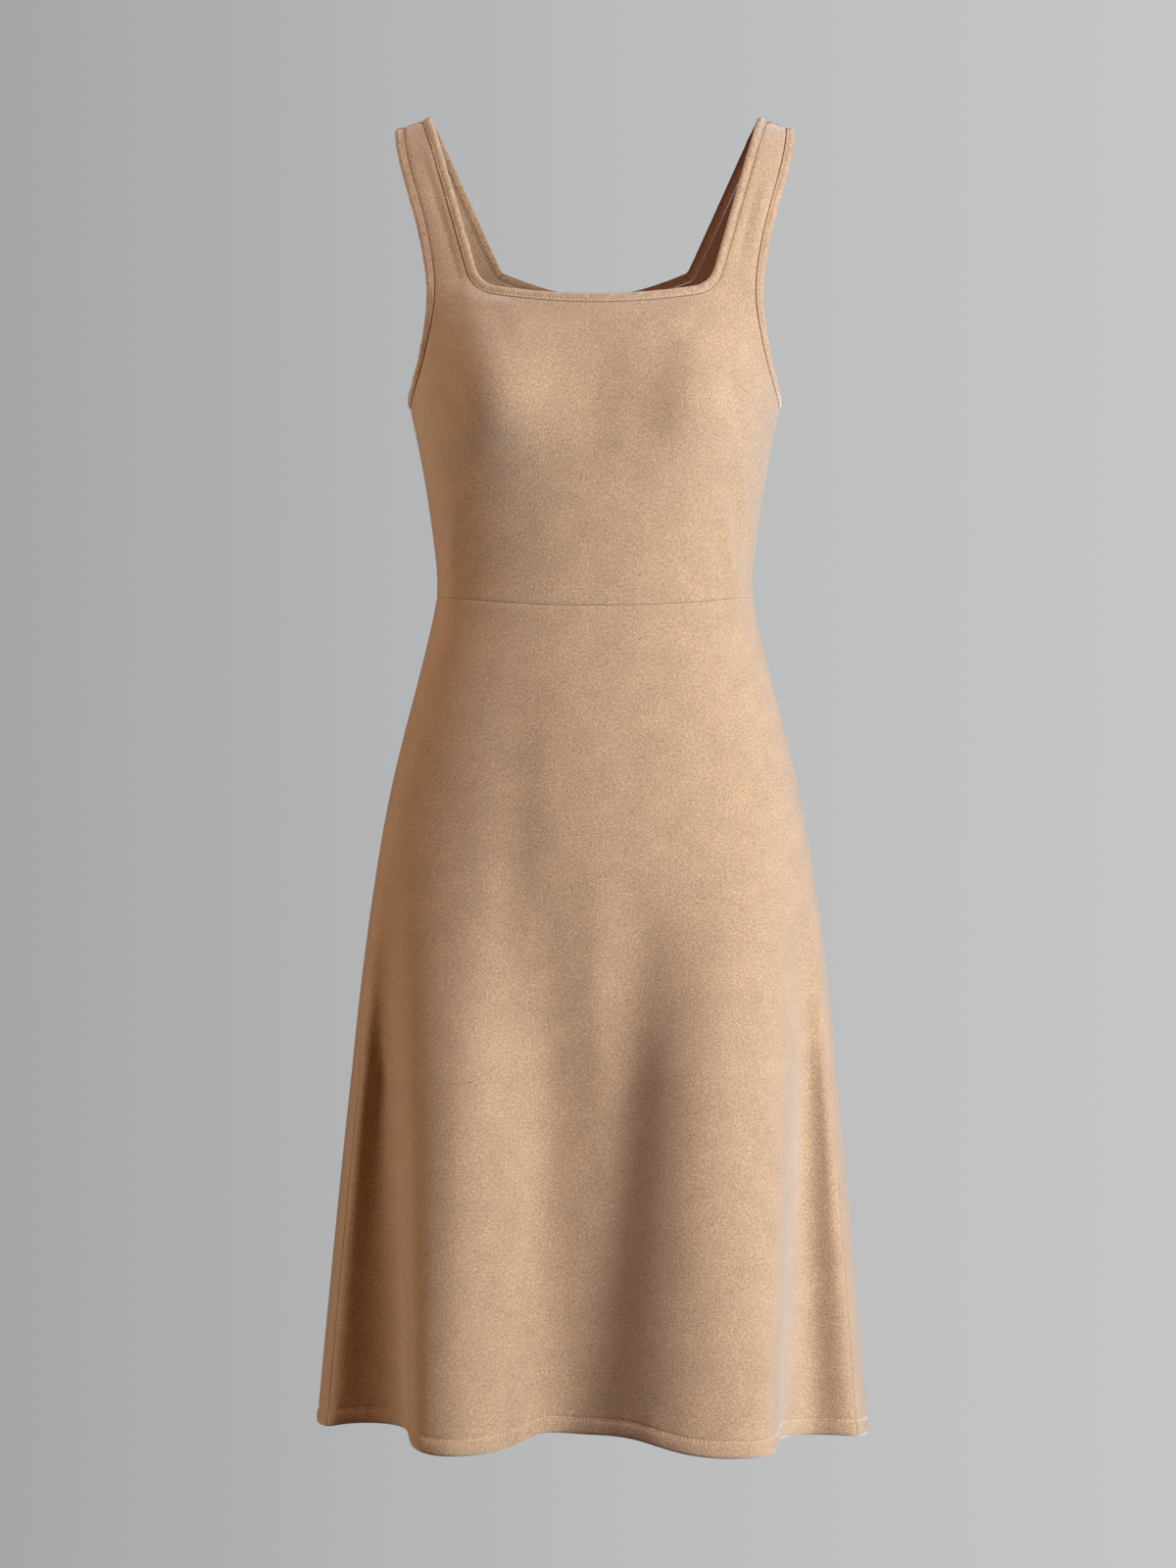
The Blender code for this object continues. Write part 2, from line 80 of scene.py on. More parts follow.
# Shoulders and straps
STRAP_INNER = 0.1415
STRAP_OUTER = 0.1567
SHOULDER_SLOPE = 0.35
SHOULDER_SLOPE_START = 0.1330
SHOULDER_SLOPE_FADE = 0.15

# Front neck: a square neck with rounded corners
NECK_DROP = 0.1630
NECK_RISE = 0.0105
NECK_CORNER = (0.0981, 0.1522)
NECK_CORNER_RUN = 0.0165
FRONT_STRAP_LEAN = 0.283

# Back neck: a shallow curve between two plain corners
BACK_NECK_DROP = 0.1443
BACK_NECK_RISE = 0.0220
BACK_NECK_CORNER = (0.0857, 0.1198)
BACK_NECK_CORNER_RUN = 0.0035
BACK_NECK_CURVE = 1.6
BACK_STRAP_LEAN = 0.4655

# Levels of the underarm, waist seam, side seam and hem
UNDERARM_DROP = 0.2400
WAIST_DROP = 0.3945
WAIST_FRONT_DIP = 0.0100
WAIST_BACK_DIP = 0.0030
SIDE_SEAM_SHIFT = math.radians(12.0)
SIDE_SEAM_SHIFT_START = 0.56
SIDE_SEAM_SHIFT_END = 0.82
FOLD_START = 0.56
FOLD_MIDDLE = 0.78
HEM_LEVEL = 1.072

# Bust: one soft rise on each side of the front
BUST_SIDE = 0.083
BUST_DROP = 0.238
BUST_RISE = 0.017
BUST_WIDTH = 0.046
BUST_HEIGHT = 0.050

# Level sections of the body, from the shoulder line down to the hem without its folds
Section = namedtuple("Section", "drop half_width front back roundness")
SECTIONS = (
    Section(0.000, 0.1900, 0.0000, 0.0000, 2.30),
    Section(0.012, 0.1895, 0.0275, 0.0290, 2.30),
    Section(0.035, 0.1880, 0.0470, 0.0520, 2.30),
    Section(0.070, 0.1840, 0.0655, 0.0740, 2.30),
    Section(0.110, 0.1780, 0.0810, 0.0875, 2.30),
    Section(0.155, 0.1700, 0.0970, 0.0955, 2.30),
    Section(0.200, 0.1600, 0.1090, 0.0970, 2.30),
    Section(0.240, 0.1515, 0.1140, 0.0945, 2.30),
    Section(0.275, 0.1440, 0.1105, 0.0900, 2.30),
    Section(0.315, 0.1370, 0.1030, 0.0840, 2.30),
    Section(0.355, 0.1315, 0.0960, 0.0795, 2.30),
    Section(0.393, 0.1297, 0.0930, 0.0780, 2.30),
    Section(0.420, 0.1345, 0.0945, 0.0815, 2.30),
    Section(0.465, 0.1455, 0.1000, 0.0930, 2.30),
    Section(0.515, 0.1585, 0.1060, 0.1070, 2.30),
    Section(0.565, 0.1698, 0.1105, 0.1170, 2.30),
    Section(0.628, 0.1807, 0.1145, 0.1230, 2.35),
    Section(0.708, 0.1920, 0.1180, 0.1275, 2.40),
    Section(0.870, 0.2090, 0.1230, 0.1330, 2.40),
    Section(1.085, 0.2275, 0.1270, 0.1380, 2.40),
)

# Folds of the skirt: where each crest and trough lies at knee level and at the hem
Fold = namedtuple("Fold", "turn knee_x knee_y hem_x hem_y hem_drop")
FOLDS = (
    Fold(-90, -0.1995, 0.004, -0.2285, 0.012, 1.0722),
    Fold(-78, -0.1900, -0.053, -0.2180, -0.040, 1.0685),
    Fold(-66, -0.1730, -0.061, -0.1890, -0.057, 1.0635),
    Fold(-56, -0.1590, -0.079, -0.1530, -0.083, 1.0640),
    Fold(-47, -0.1470, -0.103, -0.1450, -0.126, 1.0710),
    Fold(-35, -0.1130, -0.125, -0.1130, -0.149, 1.0752),
    Fold(-21, -0.0690, -0.116, -0.0680, -0.131, 1.0718),
    Fold(-7, -0.0360, -0.103, -0.0420, -0.114, 1.0630),
    Fold(7, 0.0000, -0.1040, -0.0120, -0.1160, 1.0630),
    Fold(21, 0.0430, -0.1205, 0.0300, -0.1440, 1.0630),
    Fold(34, 0.0920, -0.1345, 0.0800, -0.1650, 1.0725),
    Fold(47, 0.1475, -0.105, 0.1400, -0.144, 1.0740),
    Fold(56, 0.1630, -0.072, 0.1480, -0.090, 1.0725),
    Fold(66, 0.1750, -0.056, 0.1760, -0.057, 1.0730),
    Fold(78, 0.1900, -0.048, 0.2120, -0.054, 1.0745),
    Fold(90, 0.1985, 0.004, 0.2240, 0.010, 1.0800),
    Fold(105, 0.1890, 0.040, 0.2060, 0.058, 1.0765),
    Fold(120, 0.1610, 0.077, 0.1670, 0.088, 1.0710),
    Fold(136, 0.1220, 0.113, 0.1260, 0.148, 1.0735),
    Fold(151, 0.0740, 0.125, 0.0700, 0.136, 1.0715),
    Fold(166, 0.0360, 0.131, 0.0340, 0.131, 1.0700),
    Fold(181, -0.0060, 0.138, -0.0040, 0.163, 1.0735),
    Fold(196, -0.0460, 0.130, -0.0460, 0.138, 1.0705),
    Fold(210, -0.0860, 0.121, -0.0850, 0.128, 1.0700),
    Fold(225, -0.1270, 0.110, -0.1310, 0.149, 1.0730),
    Fold(240, -0.1640, 0.075, -0.1710, 0.086, 1.0700),
    Fold(255, -0.1900, 0.038, -0.2090, 0.056, 1.0715),
)

# Armhole edge of the bodice, from the front of the shoulder under the arm to the back
Armhole = namedtuple("Armhole", "side x drop")
ARMHOLE = (
    Armhole("front", STRAP_OUTER, 0.000),
    Armhole("front", 0.1545, 0.022),
    Armhole("front", 0.1440, 0.068),
    Armhole("front", 0.1338, 0.112),
    Armhole("front", 0.1295, 0.145),
    Armhole("front", 0.1325, 0.178),
    Armhole("front", 0.1405, 0.211),
    Armhole("front", 0.1485, 0.233),
    Armhole("under", 0.1515, UNDERARM_DROP),
    Armhole("back", 0.1485, 0.233),
    Armhole("back", 0.1385, 0.211),
    Armhole("back", 0.1260, 0.178),
    Armhole("back", 0.1195, 0.145),
    Armhole("back", 0.1215, 0.108),
    Armhole("back", 0.1345, 0.064),
    Armhole("back", 0.1510, 0.021),
    Armhole("back", STRAP_OUTER, 0.000),
)

# Soft creases: a line from one place to another, bowed sideways, with its half width and
# its height over the form, below zero for a trough
Crease = namedtuple("Crease", "side x0 drop0 x1 drop1 bow half_width height")
CREASES = (
    # straps
    Crease("front", -0.1440, 0.028, -0.1060, 0.155, 0.003, 0.0060, -0.0016),
    Crease("front", 0.1350, 0.045, 0.1150, 0.135, -0.002, 0.0060, -0.0016),
    Crease("front", 0.1420, 0.060, 0.1260, 0.120, 0.001, 0.0045, 0.0008),
    Crease("back", -0.1400, 0.035, -0.1060, 0.120, 0.002, 0.0065, -0.0013),
    Crease("back", 0.1390, 0.040, 0.1080, 0.110, -0.002, 0.0060, -0.0012),
    # pulls below the neck corners
    Crease("front", -0.0960, 0.158, -0.0600, 0.215, 0.002, 0.0080, -0.0009),
    Crease("front", -0.0950, 0.140, -0.0800, 0.275, 0.004, 0.0290, 0.0050),
    Crease("front", -0.0850, 0.162, -0.0660, 0.184, 0.000, 0.0045, -0.0007),
    Crease("front", 0.0930, 0.163, 0.0710, 0.192, 0.000, 0.0060, -0.0009),
    Crease("front", 0.0560, 0.180, 0.0380, 0.275, 0.006, 0.0190, -0.0026),
    Crease("front", -0.1240, 0.215, -0.1040, 0.262, 0.002, 0.0080, -0.0010),
    Crease("front", 0.1230, 0.214, 0.1050, 0.258, -0.002, 0.0080, -0.0010),
    # pulls above the waist
    Crease("front", 0.1010, 0.318, 0.1180, 0.398, 0.000, 0.0060, 0.0013),
    Crease("front", 0.1080, 0.290, 0.1210, 0.380, 0.001, 0.0050, -0.0014),
    Crease("front", 0.1170, 0.262, 0.1250, 0.362, 0.000, 0.0050, 0.0010),
    Crease("front", -0.1130, 0.320, -0.1190, 0.395, 0.001, 0.0060, 0.0010),
    Crease("back", -0.0750, 0.330, -0.1180, 0.380, 0.003, 0.0080, -0.0014),
    Crease("back", 0.0700, 0.336, 0.1150, 0.384, 0.003, 0.0080, -0.0013),
    Crease("back", -0.0620, 0.365, -0.1120, 0.392, 0.002, 0.0060, -0.0010),
    Crease("back", 0.0580, 0.368, 0.1080, 0.393, 0.002, 0.0060, -0.0009),
    Crease("back", 0.1000, 0.200, 0.0700, 0.270, 0.002, 0.0100, -0.0012),
    Crease("back", -0.1000, 0.205, -0.0740, 0.262, -0.002, 0.0100, -0.0012),
    # skirt, front
    Crease("front", -0.0620, 0.460, -0.0660, 0.860, 0.000, 0.0210, -0.0036),
    Crease("front", -0.0380, 0.620, -0.0400, 0.960, 0.000, 0.0170, -0.0030),
    Crease("front", 0.0020, 0.600, 0.0000, 0.830, 0.000, 0.0140, 0.0018),
    Crease("front", 0.0400, 0.620, 0.0000, 1.060, 0.002, 0.0200, -0.0042),
    Crease("front", 0.1680, 0.760, 0.1780, 1.075, 0.001, 0.0130, -0.0042),
    # skirt, back
    Crease("back", 0.0300, 0.560, 0.0360, 0.900, 0.003, 0.0150, -0.0030),
    Crease("back", -0.0700, 0.580, -0.0840, 0.920, -0.003, 0.0160, -0.0035),
    Crease("back", -0.0200, 0.600, -0.0240, 0.850, 0.002, 0.0140, 0.0020),
)

# Power that fills out a crease's height along its line, and how far from a sewn edge the
# creases reach that height
CREASE_FULLNESS = 0.7
BODICE_CREASE_START = 0.010
SKIRT_CREASE_START = 0.015

# Steps of the fine grids. Each edge has its own close rows, so that it can be rounded.
EDGE_STEPS = (0.0, 0.00025, 0.0006, 0.0011, 0.0019, 0.0032)
NECK_STEPS = 50
CORNER_STEPS = 12
STRAP_COLUMNS = 24
SIDE_STEPS = 56
UNDERARM_STEPS = 50
STRAP_STEPS = 80
SKIRT_COLUMNS = 176
SKIRT_ROWS = 150
HEM_ROWS = 15
HEM_CURL_STEPS = 8
HEM_TURN_UP_ROWS = 6
EDGE_SAMPLES = 900
CLOTH_TABLE = (80, 181)

# Sizes that spread the points of a grid evenly over the body and the skirt, and the power
# with which the rows of the bodice turn to those of its outer edge
BODY_RADIUS = 0.13
SHOULDER_ARCH = 0.25
SKIRT_GIRTH = 0.55
EDGE_PULL = 6

# Hem: how far above its stitches its own close rows start, the power that fills out its
# swell, how wide its stitches' ditch and puckers are, and the puckers as (wavelength,
# height, start)
HEM_MARGIN = 0.006
HEM_SWELL_FULLNESS = 0.8
HEM_DITCH_WIDTH = 0.0016
HEM_PUCKER_WIDTH = 0.010
HEM_PUCKERS = ((0.031, 0.00022, 0.3), (0.0127, 0.00012, 1.9), (0.0071, 0.00008, 4.0))

# Section of the rolled band: way out from the panel's edge over the band's width, and
# height over the panel's face over the band's thickness
BAND_SECTION = (
    (0.000, -0.20),
    (0.012, -0.03),
    (0.050, 0.03),
    (0.130, -0.02),
    (0.230, 0.06),
    (0.380, 0.15),
    (0.560, 0.19),
    (0.740, 0.14),
    (0.900, -0.02),
    (1.000, -0.25),
    (0.930, -0.48),
    (0.760, -0.63),
    (0.560, -0.67),
    (0.360, -0.64),
    (0.240, -0.57),
    (0.170, -0.45),
    (0.100, -0.49),
    (0.030, -0.42),
)
BAND_SECTION_STEPS = 40

# Uneven roll of the band along its length, as (wavelength, height, start), and how soon
# it grows to that height away from the panel
BAND_SWELLS = ((0.0042, 0.00012, 0.4), (0.0113, 0.00016, 2.2), (0.0287, 0.00025, 1.1))
BAND_SWELL_GROWTH = 1.5

# Depths under the panel's face, over the band's thickness, between which the band's
# section turns to the wrong side, and the painted shade on it grows to its full share
BAND_TURNS_IN = (0.1, 0.4)

# Where the band's stitches lie, as shares of its width and of its thickness
STITCH_PLACE = 0.130
STITCH_HEIGHT_OUTSIDE = 0.03
STITCH_HEIGHT_INSIDE = -0.49

# One stitch: rings along its thread, sides round it, how thin its ends may get as a share
# of the square of its radius, and how high it rises and how far its ends dip, in radii
STITCH_RINGS = 7
STITCH_SIDES = 6
STITCH_END = 0.02
STITCH_RISE = 0.5
STITCH_DIP = 1.6

# Share of the painted shade on inner faces, which darkens them where the inside lies in
# shade: at the dress's right and at its left, and where it goes from the one to the other
PAINTED_INNER_SHADE = (0.32, 1.00)
PAINTED_INNER_SHADE_START = -0.04
PAINTED_INNER_SHADE_END = 0.05

# The fold over the shoulder: how far down it reaches, and how far up its faces turn
PRESSED_DEPTH = 0.200
PRESSED_TILT = 0.84

# Tones of the fibres, as parts of the wool's contrast, and tints of single hairs, each at
# its place in the noise
WHITE = (1.0, 1.0, 1.0)
FIBRE_TONES = ((0.28, -1.15), (0.45, -0.30), (0.56, 0.35), (0.72, 1.20))
HAIR_TINTS = (
    (0.34, (1.00, 0.90, 0.80)),
    (0.46, (0.96, 0.97, 0.98)),
    (0.56, (0.97, 0.99, 0.90)),
    (0.68, (1.00, 0.95, 1.00)),
)

# Lay of the brushed nap on the panels and on the bands, and how high it stands
NAP_TURN = math.radians(-45)
BAND_NAP_TURN = math.radians(-60)
NAP_HEIGHT = 0.0008

# Share of its colour with which the stage lights the dress, and shows its shadow
STAGE_BOUNCE = 0.2
FLOOR_SHADOW = 0.18

# Plan of the stage: the floor's level, the backdrop's place and top, how far both reach
# each way, and the radius of the cove between them
FLOOR_LEVEL = -1.45
BACKDROP_PLACE = 1.0
BACKDROP_TOP = 2.2
BACKDROP_COVE = 0.25
COVE_STEPS = 8
STAGE_REACH = 4.0

# Where across the backdrop its painted light starts and ends to change, paler to the right,
# and how much paler than the mean of its two colours it is between them
BACKDROP_SPAN = (-0.66, 0.64)
BACKDROP_MIDDLE = 1.04

# Colours of the surroundings: as the dress sees them, and as the camera does
FILL_COLOUR = (1.0, 0.36, 0.10)
SEEN_COLOUR = (0.48, 0.48, 0.485)

# Lamps other than the key: place, target, size and colour
DRESS_MIDDLE = (0.0, 0.0, -0.55)
LEFT_STRAP = (-0.27, -0.05, 0.06)
Lamp = namedtuple("Lamp", "place target size colour")
SIDE_LAMP = Lamp((2.2, -0.55, -0.5), DRESS_MIDDLE, (0.8, 1.8), (0.80, 0.95, 1.0))
RIM_LAMP = Lamp((-2.2, 0.42, 0.0), DRESS_MIDDLE, (0.6, 1.8), (1.0, 0.72, 0.49))
BEHIND_LAMP = Lamp((0.0, 0.93, -0.5), DRESS_MIDDLE, (0.5, 1.6), (1.0, 0.95, 0.88))
UPPER_LAMP = Lamp((-1.25, -1.15, 0.25), LEFT_STRAP, (0.4, 0.4), (1.0, 0.96, 0.84))
UPPER_SPREAD = math.radians(32)

# The key lamp's distance, height, size and colour
KEY_REACH = 2.6
KEY_HEIGHT = -0.05
KEY_SIZE = (1.0, 1.8)
KEY_COLOUR = (1.0, 1.0, 1.03)


# ---------------------------------------------------------------- shared shape


def spline(at, knots, values):
    """Natural cubic spline through values at knots, for an array of places."""
    knots = np.asarray(knots, float)
    values = np.asarray(values, float)
    if values.ndim == 1:
        return spline(at, knots, values[:, None])[..., 0]
    count = len(knots)
    step = np.diff(knots)
    slope = np.diff(values, axis=0) / step[:, None]
    system = np.eye(count)
    right = np.zeros_like(values)
    inner = np.arange(1, count - 1)
    system[inner, inner - 1] = step[:-1]
    system[inner, inner] = 2 * (step[:-1] + step[1:])
    system[inner, inner + 1] = step[1:]
    right[1:-1] = 6 * np.diff(slope, axis=0)
    bend = np.linalg.solve(system, right)
    at = np.asarray(at, float)
    i = np.clip(np.searchsorted(knots, at, side="right") - 1, 0, count - 2)
    width = step[i][..., None]
    ahead = (knots[i + 1] - at)[..., None] / width
    behind = 1 - ahead
    curve = ((ahead**3 - ahead) * bend[i] + (behind**3 - behind) * bend[i + 1]) * width**2 / 6
    return ahead * values[i] + behind * values[i + 1] + curve


def ease(value, start, end):
    """0 before start, 1 after end, and smooth between them: 3s^2 - 2s^3."""
    share = np.clip((value - start) / (end - start), 0, 1)
    return share * share * (3 - 2 * share)


def unit(vectors):
    """The vectors over their lengths."""
    return vectors / np.linalg.norm(vectors, axis=-1, keepdims=True)


def section_at(drop):
    """Half width, front depth, back depth and roundness of the body at a drop: a spline
    over the square root of the drop, which makes the shoulder a round arch."""
    root = np.sqrt(np.maximum(drop, 0))
    rows = spline(root, [math.sqrt(s.drop) for s in SECTIONS], [s[1:] for s in SECTIONS])
    return rows[..., 0], rows[..., 1], rows[..., 2], rows[..., 3]


def oval(turn, drop):
    """Plan of the body at a drop, without its folds: a superellipse, its half width times
    sine to the power 2 over the roundness, and its depth times cosine to that power."""
    half_width, front, back, roundness = section_at(drop)
    power = 2 / roundness
    sine = np.sin(turn)
    cosine = np.cos(turn)
    x = half_width * np.sign(sine) * np.abs(sine) ** power
    y = np.where(cosine > 0, -front, back) * np.abs(cosine) ** power
    return x, y


def around(rows):
    """Rows of the fold table repeated once before and once after the full turn."""
    knots = [math.radians(f.turn + 360 * lap) for lap in (-1, 0, 1) for f in FOLDS]
    return knots, list(rows) * 3


def fold_shift(turn, drop):
    """How far the folds move the oval: the spline round the knee or the hem less the oval
    there, growing in from the hips and passing from the one to the other below the knee."""
    knee = spline(turn, *around((f.knee_x, f.knee_y) for f in FOLDS))
    hem = spline(turn, *around((f.hem_x, f.hem_y) for f in FOLDS))
    knee_x, knee_y = oval(turn, np.full_like(turn, FOLD_MIDDLE))
    hem_x, hem_y = oval(turn, np.full_like(turn, HEM_LEVEL))
    start = ease(drop, FOLD_START, 2 * FOLD_MIDDLE - FOLD_START)
    first = np.where(drop < FOLD_MIDDLE, 2 * start, 1.0)
    second = np.maximum(drop - FOLD_MIDDLE, 0) / (HEM_LEVEL - FOLD_MIDDLE)
    shift_x = first * (1 - second) * (knee[..., 0] - knee_x) + second * (hem[..., 0] - hem_x)
    shift_y = first * (1 - second) * (knee[..., 1] - knee_y) + second * (hem[..., 1] - hem_y)
    return shift_x, shift_y


def form(turn, drop):
    """Point of the dress's outer face: the oval at that drop, moved by the skirt's folds,
    with the bust's two soft bells in front and the slope of the shoulders."""
    turn, drop = np.broadcast_arrays(np.asarray(turn, float), np.asarray(drop, float))
    x, y = oval(turn, drop)
    shift_x, shift_y = fold_shift(turn, drop)
    across = (np.abs(x) - BUST_SIDE) / BUST_WIDTH
    down = (drop - BUST_DROP) / BUST_HEIGHT
    bust = BUST_RISE * np.exp(-(across**2) - down**2) * np.clip(2 * np.cos(turn), 0, 1)
    fade = 1 - ease(drop, 0, SHOULDER_SLOPE_FADE)
    slope = SHOULDER_SLOPE * np.maximum(np.abs(x) - SHOULDER_SLOPE_START, 0) * fade
    return np.stack([x + shift_x, y + shift_y - bust, -drop - slope], axis=-1)


def outward(turn, drop):
    """Unit normal of the form, from small steps each way."""
    turn_step = 0.004
    root_step = 0.002
    root = np.sqrt(np.maximum(drop, 0))
    lower = (root + root_step) ** 2
    upper = np.maximum(root - root_step, 0) ** 2
    down = form(turn, lower) - form(turn, upper)
    round_body = form(turn + turn_step, drop) - form(turn - turn_step, drop)
    return unit(np.cross(down, round_body))


def crease_lift(turn, drop, x):
    """Height of all the creases at a place: for each, a bell across its bowed line, as
    high as its table says at its middle and fading to nothing at its two ends."""
    lift = np.zeros_like(x)
    is_front = np.cos(turn) > 0
    for crease in CREASES:
        run_x = crease.x1 - crease.x0
        run_drop = crease.drop1 - crease.drop0
        length = math.hypot(run_x, run_drop)
        share = ((x - crease.x0) * run_x + (drop - crease.drop0) * run_drop) / length**2
        share = np.clip(share, 0, 1)
        hump = 4 * share * (1 - share)
        line_x = crease.x0 + share * run_x + crease.bow * hump * run_drop / length
        line_drop = crease.drop0 + share * run_drop - crease.bow * hump * run_x / length
        away = np.hypot(x - line_x, drop - line_drop) / crease.half_width
        same_side = is_front == (crease.side == "front")
        lift += crease.height * hump**CREASE_FULLNESS * np.exp(-(away**2)) * same_side
    return lift


def ripple(along, waves):
    """Sum of sine waves along an edge; waves holds (wavelength, height, start) rows."""
    return sum(height * np.sin(2 * math.pi * along / wave + start) for wave, height, start in waves)


def rim_drop(away, radius, ditch, ditch_width):
    """How far a panel sinks at a distance from its sewn edge: a quarter round of that
    radius, in a wider and softer ditch."""
    bend = np.clip(radius - away, 0, radius)
    quarter = radius - np.sqrt(np.maximum(radius**2 - bend**2, 0))
    return quarter + ditch * np.exp(-((away / ditch_width) ** 2))


# ---------------------------------------------------------------- bodice outline


def turn_of(x, drop):
    """Turn from the middle of a panel at which the body has the half width x."""
    half_width, _, _, roundness = section_at(drop)
    return np.arcsin(np.clip(np.abs(x) / half_width, 0, 1) ** (roundness / 2))


def close_start(total, count):
    """Shares from 0 to 1 with close steps at 0, for one length or an array of lengths."""
    total = np.asarray(total, float)[..., None]
    near = np.array(EDGE_STEPS) / total
    rest = near[..., -1:] + (1 - near[..., -1:]) * np.linspace(0, 1, count + 1)[1:]
    return np.concatenate([near, rest], axis=-1)


def close_end(total, count):
    """Shares from 0 to 1 with close steps at 1."""
    return 1 - close_start(total, count)[..., ::-1]


def close_both(total, count):
    """Shares from 0 to 1 with close steps at 0 and at 1."""
    total = np.asarray(total, float)[..., None]
    near = np.array(EDGE_STEPS) / total
    middle = near[..., -1:] + (1 - 2 * near[..., -1:]) * np.linspace(0, 1, count + 1)[1:-1]
    return np.concatenate([near, middle, 1 - near[..., ::-1]], axis=-1)


# Columns and rows of a bodice panel's grid at its neck corner, side, underarm and shoulder
EXTRA = len(EDGE_STEPS) - 1
CORNER_COLUMN = NECK_STEPS + CORNER_STEPS // 2
SIDE_COLUMN = CORNER_COLUMN + STRAP_COLUMNS + 2 * EXTRA
UNDERARM_ROW = SIDE_STEPS + EXTRA
CORNER_ROW = UNDERARM_ROW + UNDERARM_STEPS + EXTRA
SHOULDER_ROW = CORNER_ROW + CORNER_STEPS // 2 + STRAP_STEPS + EXTRA


def armhole_edge(side, corner_drop, strap_roots):
    """Half of the armhole, from under the arm to the shoulder: a spline over the edge's
    length, read evenly up to the level of the neck corner, and then level with the
    strap's inner edge, whose roots of the drop are given."""
    rows = [row for row in ARMHOLE if row.side in (side, "under")]
    if side == "front":
        rows.reverse()
    drops = np.array([row.drop for row in rows])
    turns = turn_of(np.array([row.x for row in rows]), drops)
    turns[0] = QUARTER_TURN
    turns = np.concatenate([[2 * turns[0] - turns[1]], turns, turns[-2:-1]])
    roots = np.sqrt(drops)
    roots = np.concatenate([roots[1:2], roots, -roots[-2:-1]])
    strides = np.hypot(BODY_RADIUS * np.diff(turns), SHOULDER_ARCH * np.diff(roots))
    length = np.concatenate([[0], np.cumsum(strides)])
    knots = np.column_stack([turns, roots])
    places = np.linspace(length[1], length[-2], EDGE_SAMPLES)
    place_roots = spline(places, length, knots)[:, 1]
    level = np.interp(math.sqrt(corner_drop), place_roots[::-1], places[::-1])
    low = length[1] + (level - length[1]) * close_end(level - length[1], UNDERARM_STEPS)
    # the strap's rows rise at the same pace on both of its edges
    pace = (strap_roots[0] - strap_roots) / strap_roots[0]
    high = level + (length[-2] - level) * pace
    turn, root = spline(np.concatenate([low, high[1:]]), length, knots).T
    return turn, np.maximum(root, 0) ** 2


def rounded(start, corner, end, steps):
    """Points of a soft corner between two edges: a quadratic Bezier curve."""
    share = np.linspace(0, 1, steps + 1)[:, None]
    start, corner, end = np.array([start, corner, end])
    return (1 - share) ** 2 * start + 2 * share * (1 - share) * corner + share**2 * end


def neck_drop(x, side):
    """Drop of the neck edge between its corners."""
    if side == "front":
        return NECK_DROP - NECK_RISE * (x / NECK_CORNER[0]) ** 2
    return BACK_NECK_DROP - BACK_NECK_RISE * (x / BACK_NECK_CORNER[0]) ** BACK_NECK_CURVE


def inner_edge(side):
    """Turns and drops from the centre of the neck, round its corner and up the strap."""
    front = side == "front"
    corner = NECK_CORNER if front else BACK_NECK_CORNER
    run = NECK_CORNER_RUN if front else BACK_NECK_CORNER_RUN
    lean = FRONT_STRAP_LEAN if front else BACK_STRAP_LEAN
    neck_x = np.linspace(0, corner[0] - run, NECK_STEPS + 1)
    neck = np.column_stack([neck_x, neck_drop(neck_x, side)])
    root = math.sqrt(corner[1] - run)
    strap_root = root * (1 - close_end(SHOULDER_ARCH * root, STRAP_STEPS))
    strap = np.column_stack([STRAP_INNER - lean * strap_root**2, strap_root**2])
    bend = rounded(neck[-1], corner, strap[0], CORNER_STEPS)
    edge = np.concatenate([neck, bend[1:], strap[1:]])
    return turn_of(edge[:, 0], edge[:, 1]), edge[:, 1]


def waist_drop(turn):
    """Drop of the waist seam: the waist's level plus a dip times the cosine squared."""
    dip = np.where(np.cos(turn) > 0, WAIST_FRONT_DIP, WAIST_BACK_DIP)
    return WAIST_DROP + dip * np.cos(turn) ** 2


def outer_edge(side, strap_drop):
    """Turns and drops up the side seam and round the armhole to the shoulder. The rows of
    the strap are paired with those of its inner edge, whose drops are given."""
    arm_turn, arm_drop = armhole_edge(side, strap_drop[0], np.sqrt(strap_drop))
    length = WAIST_DROP - UNDERARM_DROP
    side_drop = WAIST_DROP - length * close_start(length, SIDE_STEPS)
    turn = np.concatenate([np.full(UNDERARM_ROW, QUARTER_TURN), arm_turn])
    return turn, np.concatenate([side_drop[:-1], arm_drop])


def strap_grid(inner_turn, inner_drop, outer_turn, outer_drop):
    """Turns and drops of a strap. Each row goes straight across between its two edges, in
    the turn and in the root of the drop."""
    across = form(outer_turn, outer_drop) - form(inner_turn, inner_drop)
    share = close_both(np.linalg.norm(across, axis=-1), STRAP_COLUMNS)
    turn = (1 - share) * inner_turn[:, None] + share * outer_turn[:, None]
    root = (1 - share) * np.sqrt(inner_drop[:, None]) + share * np.sqrt(outer_drop[:, None])
    return turn, root**2


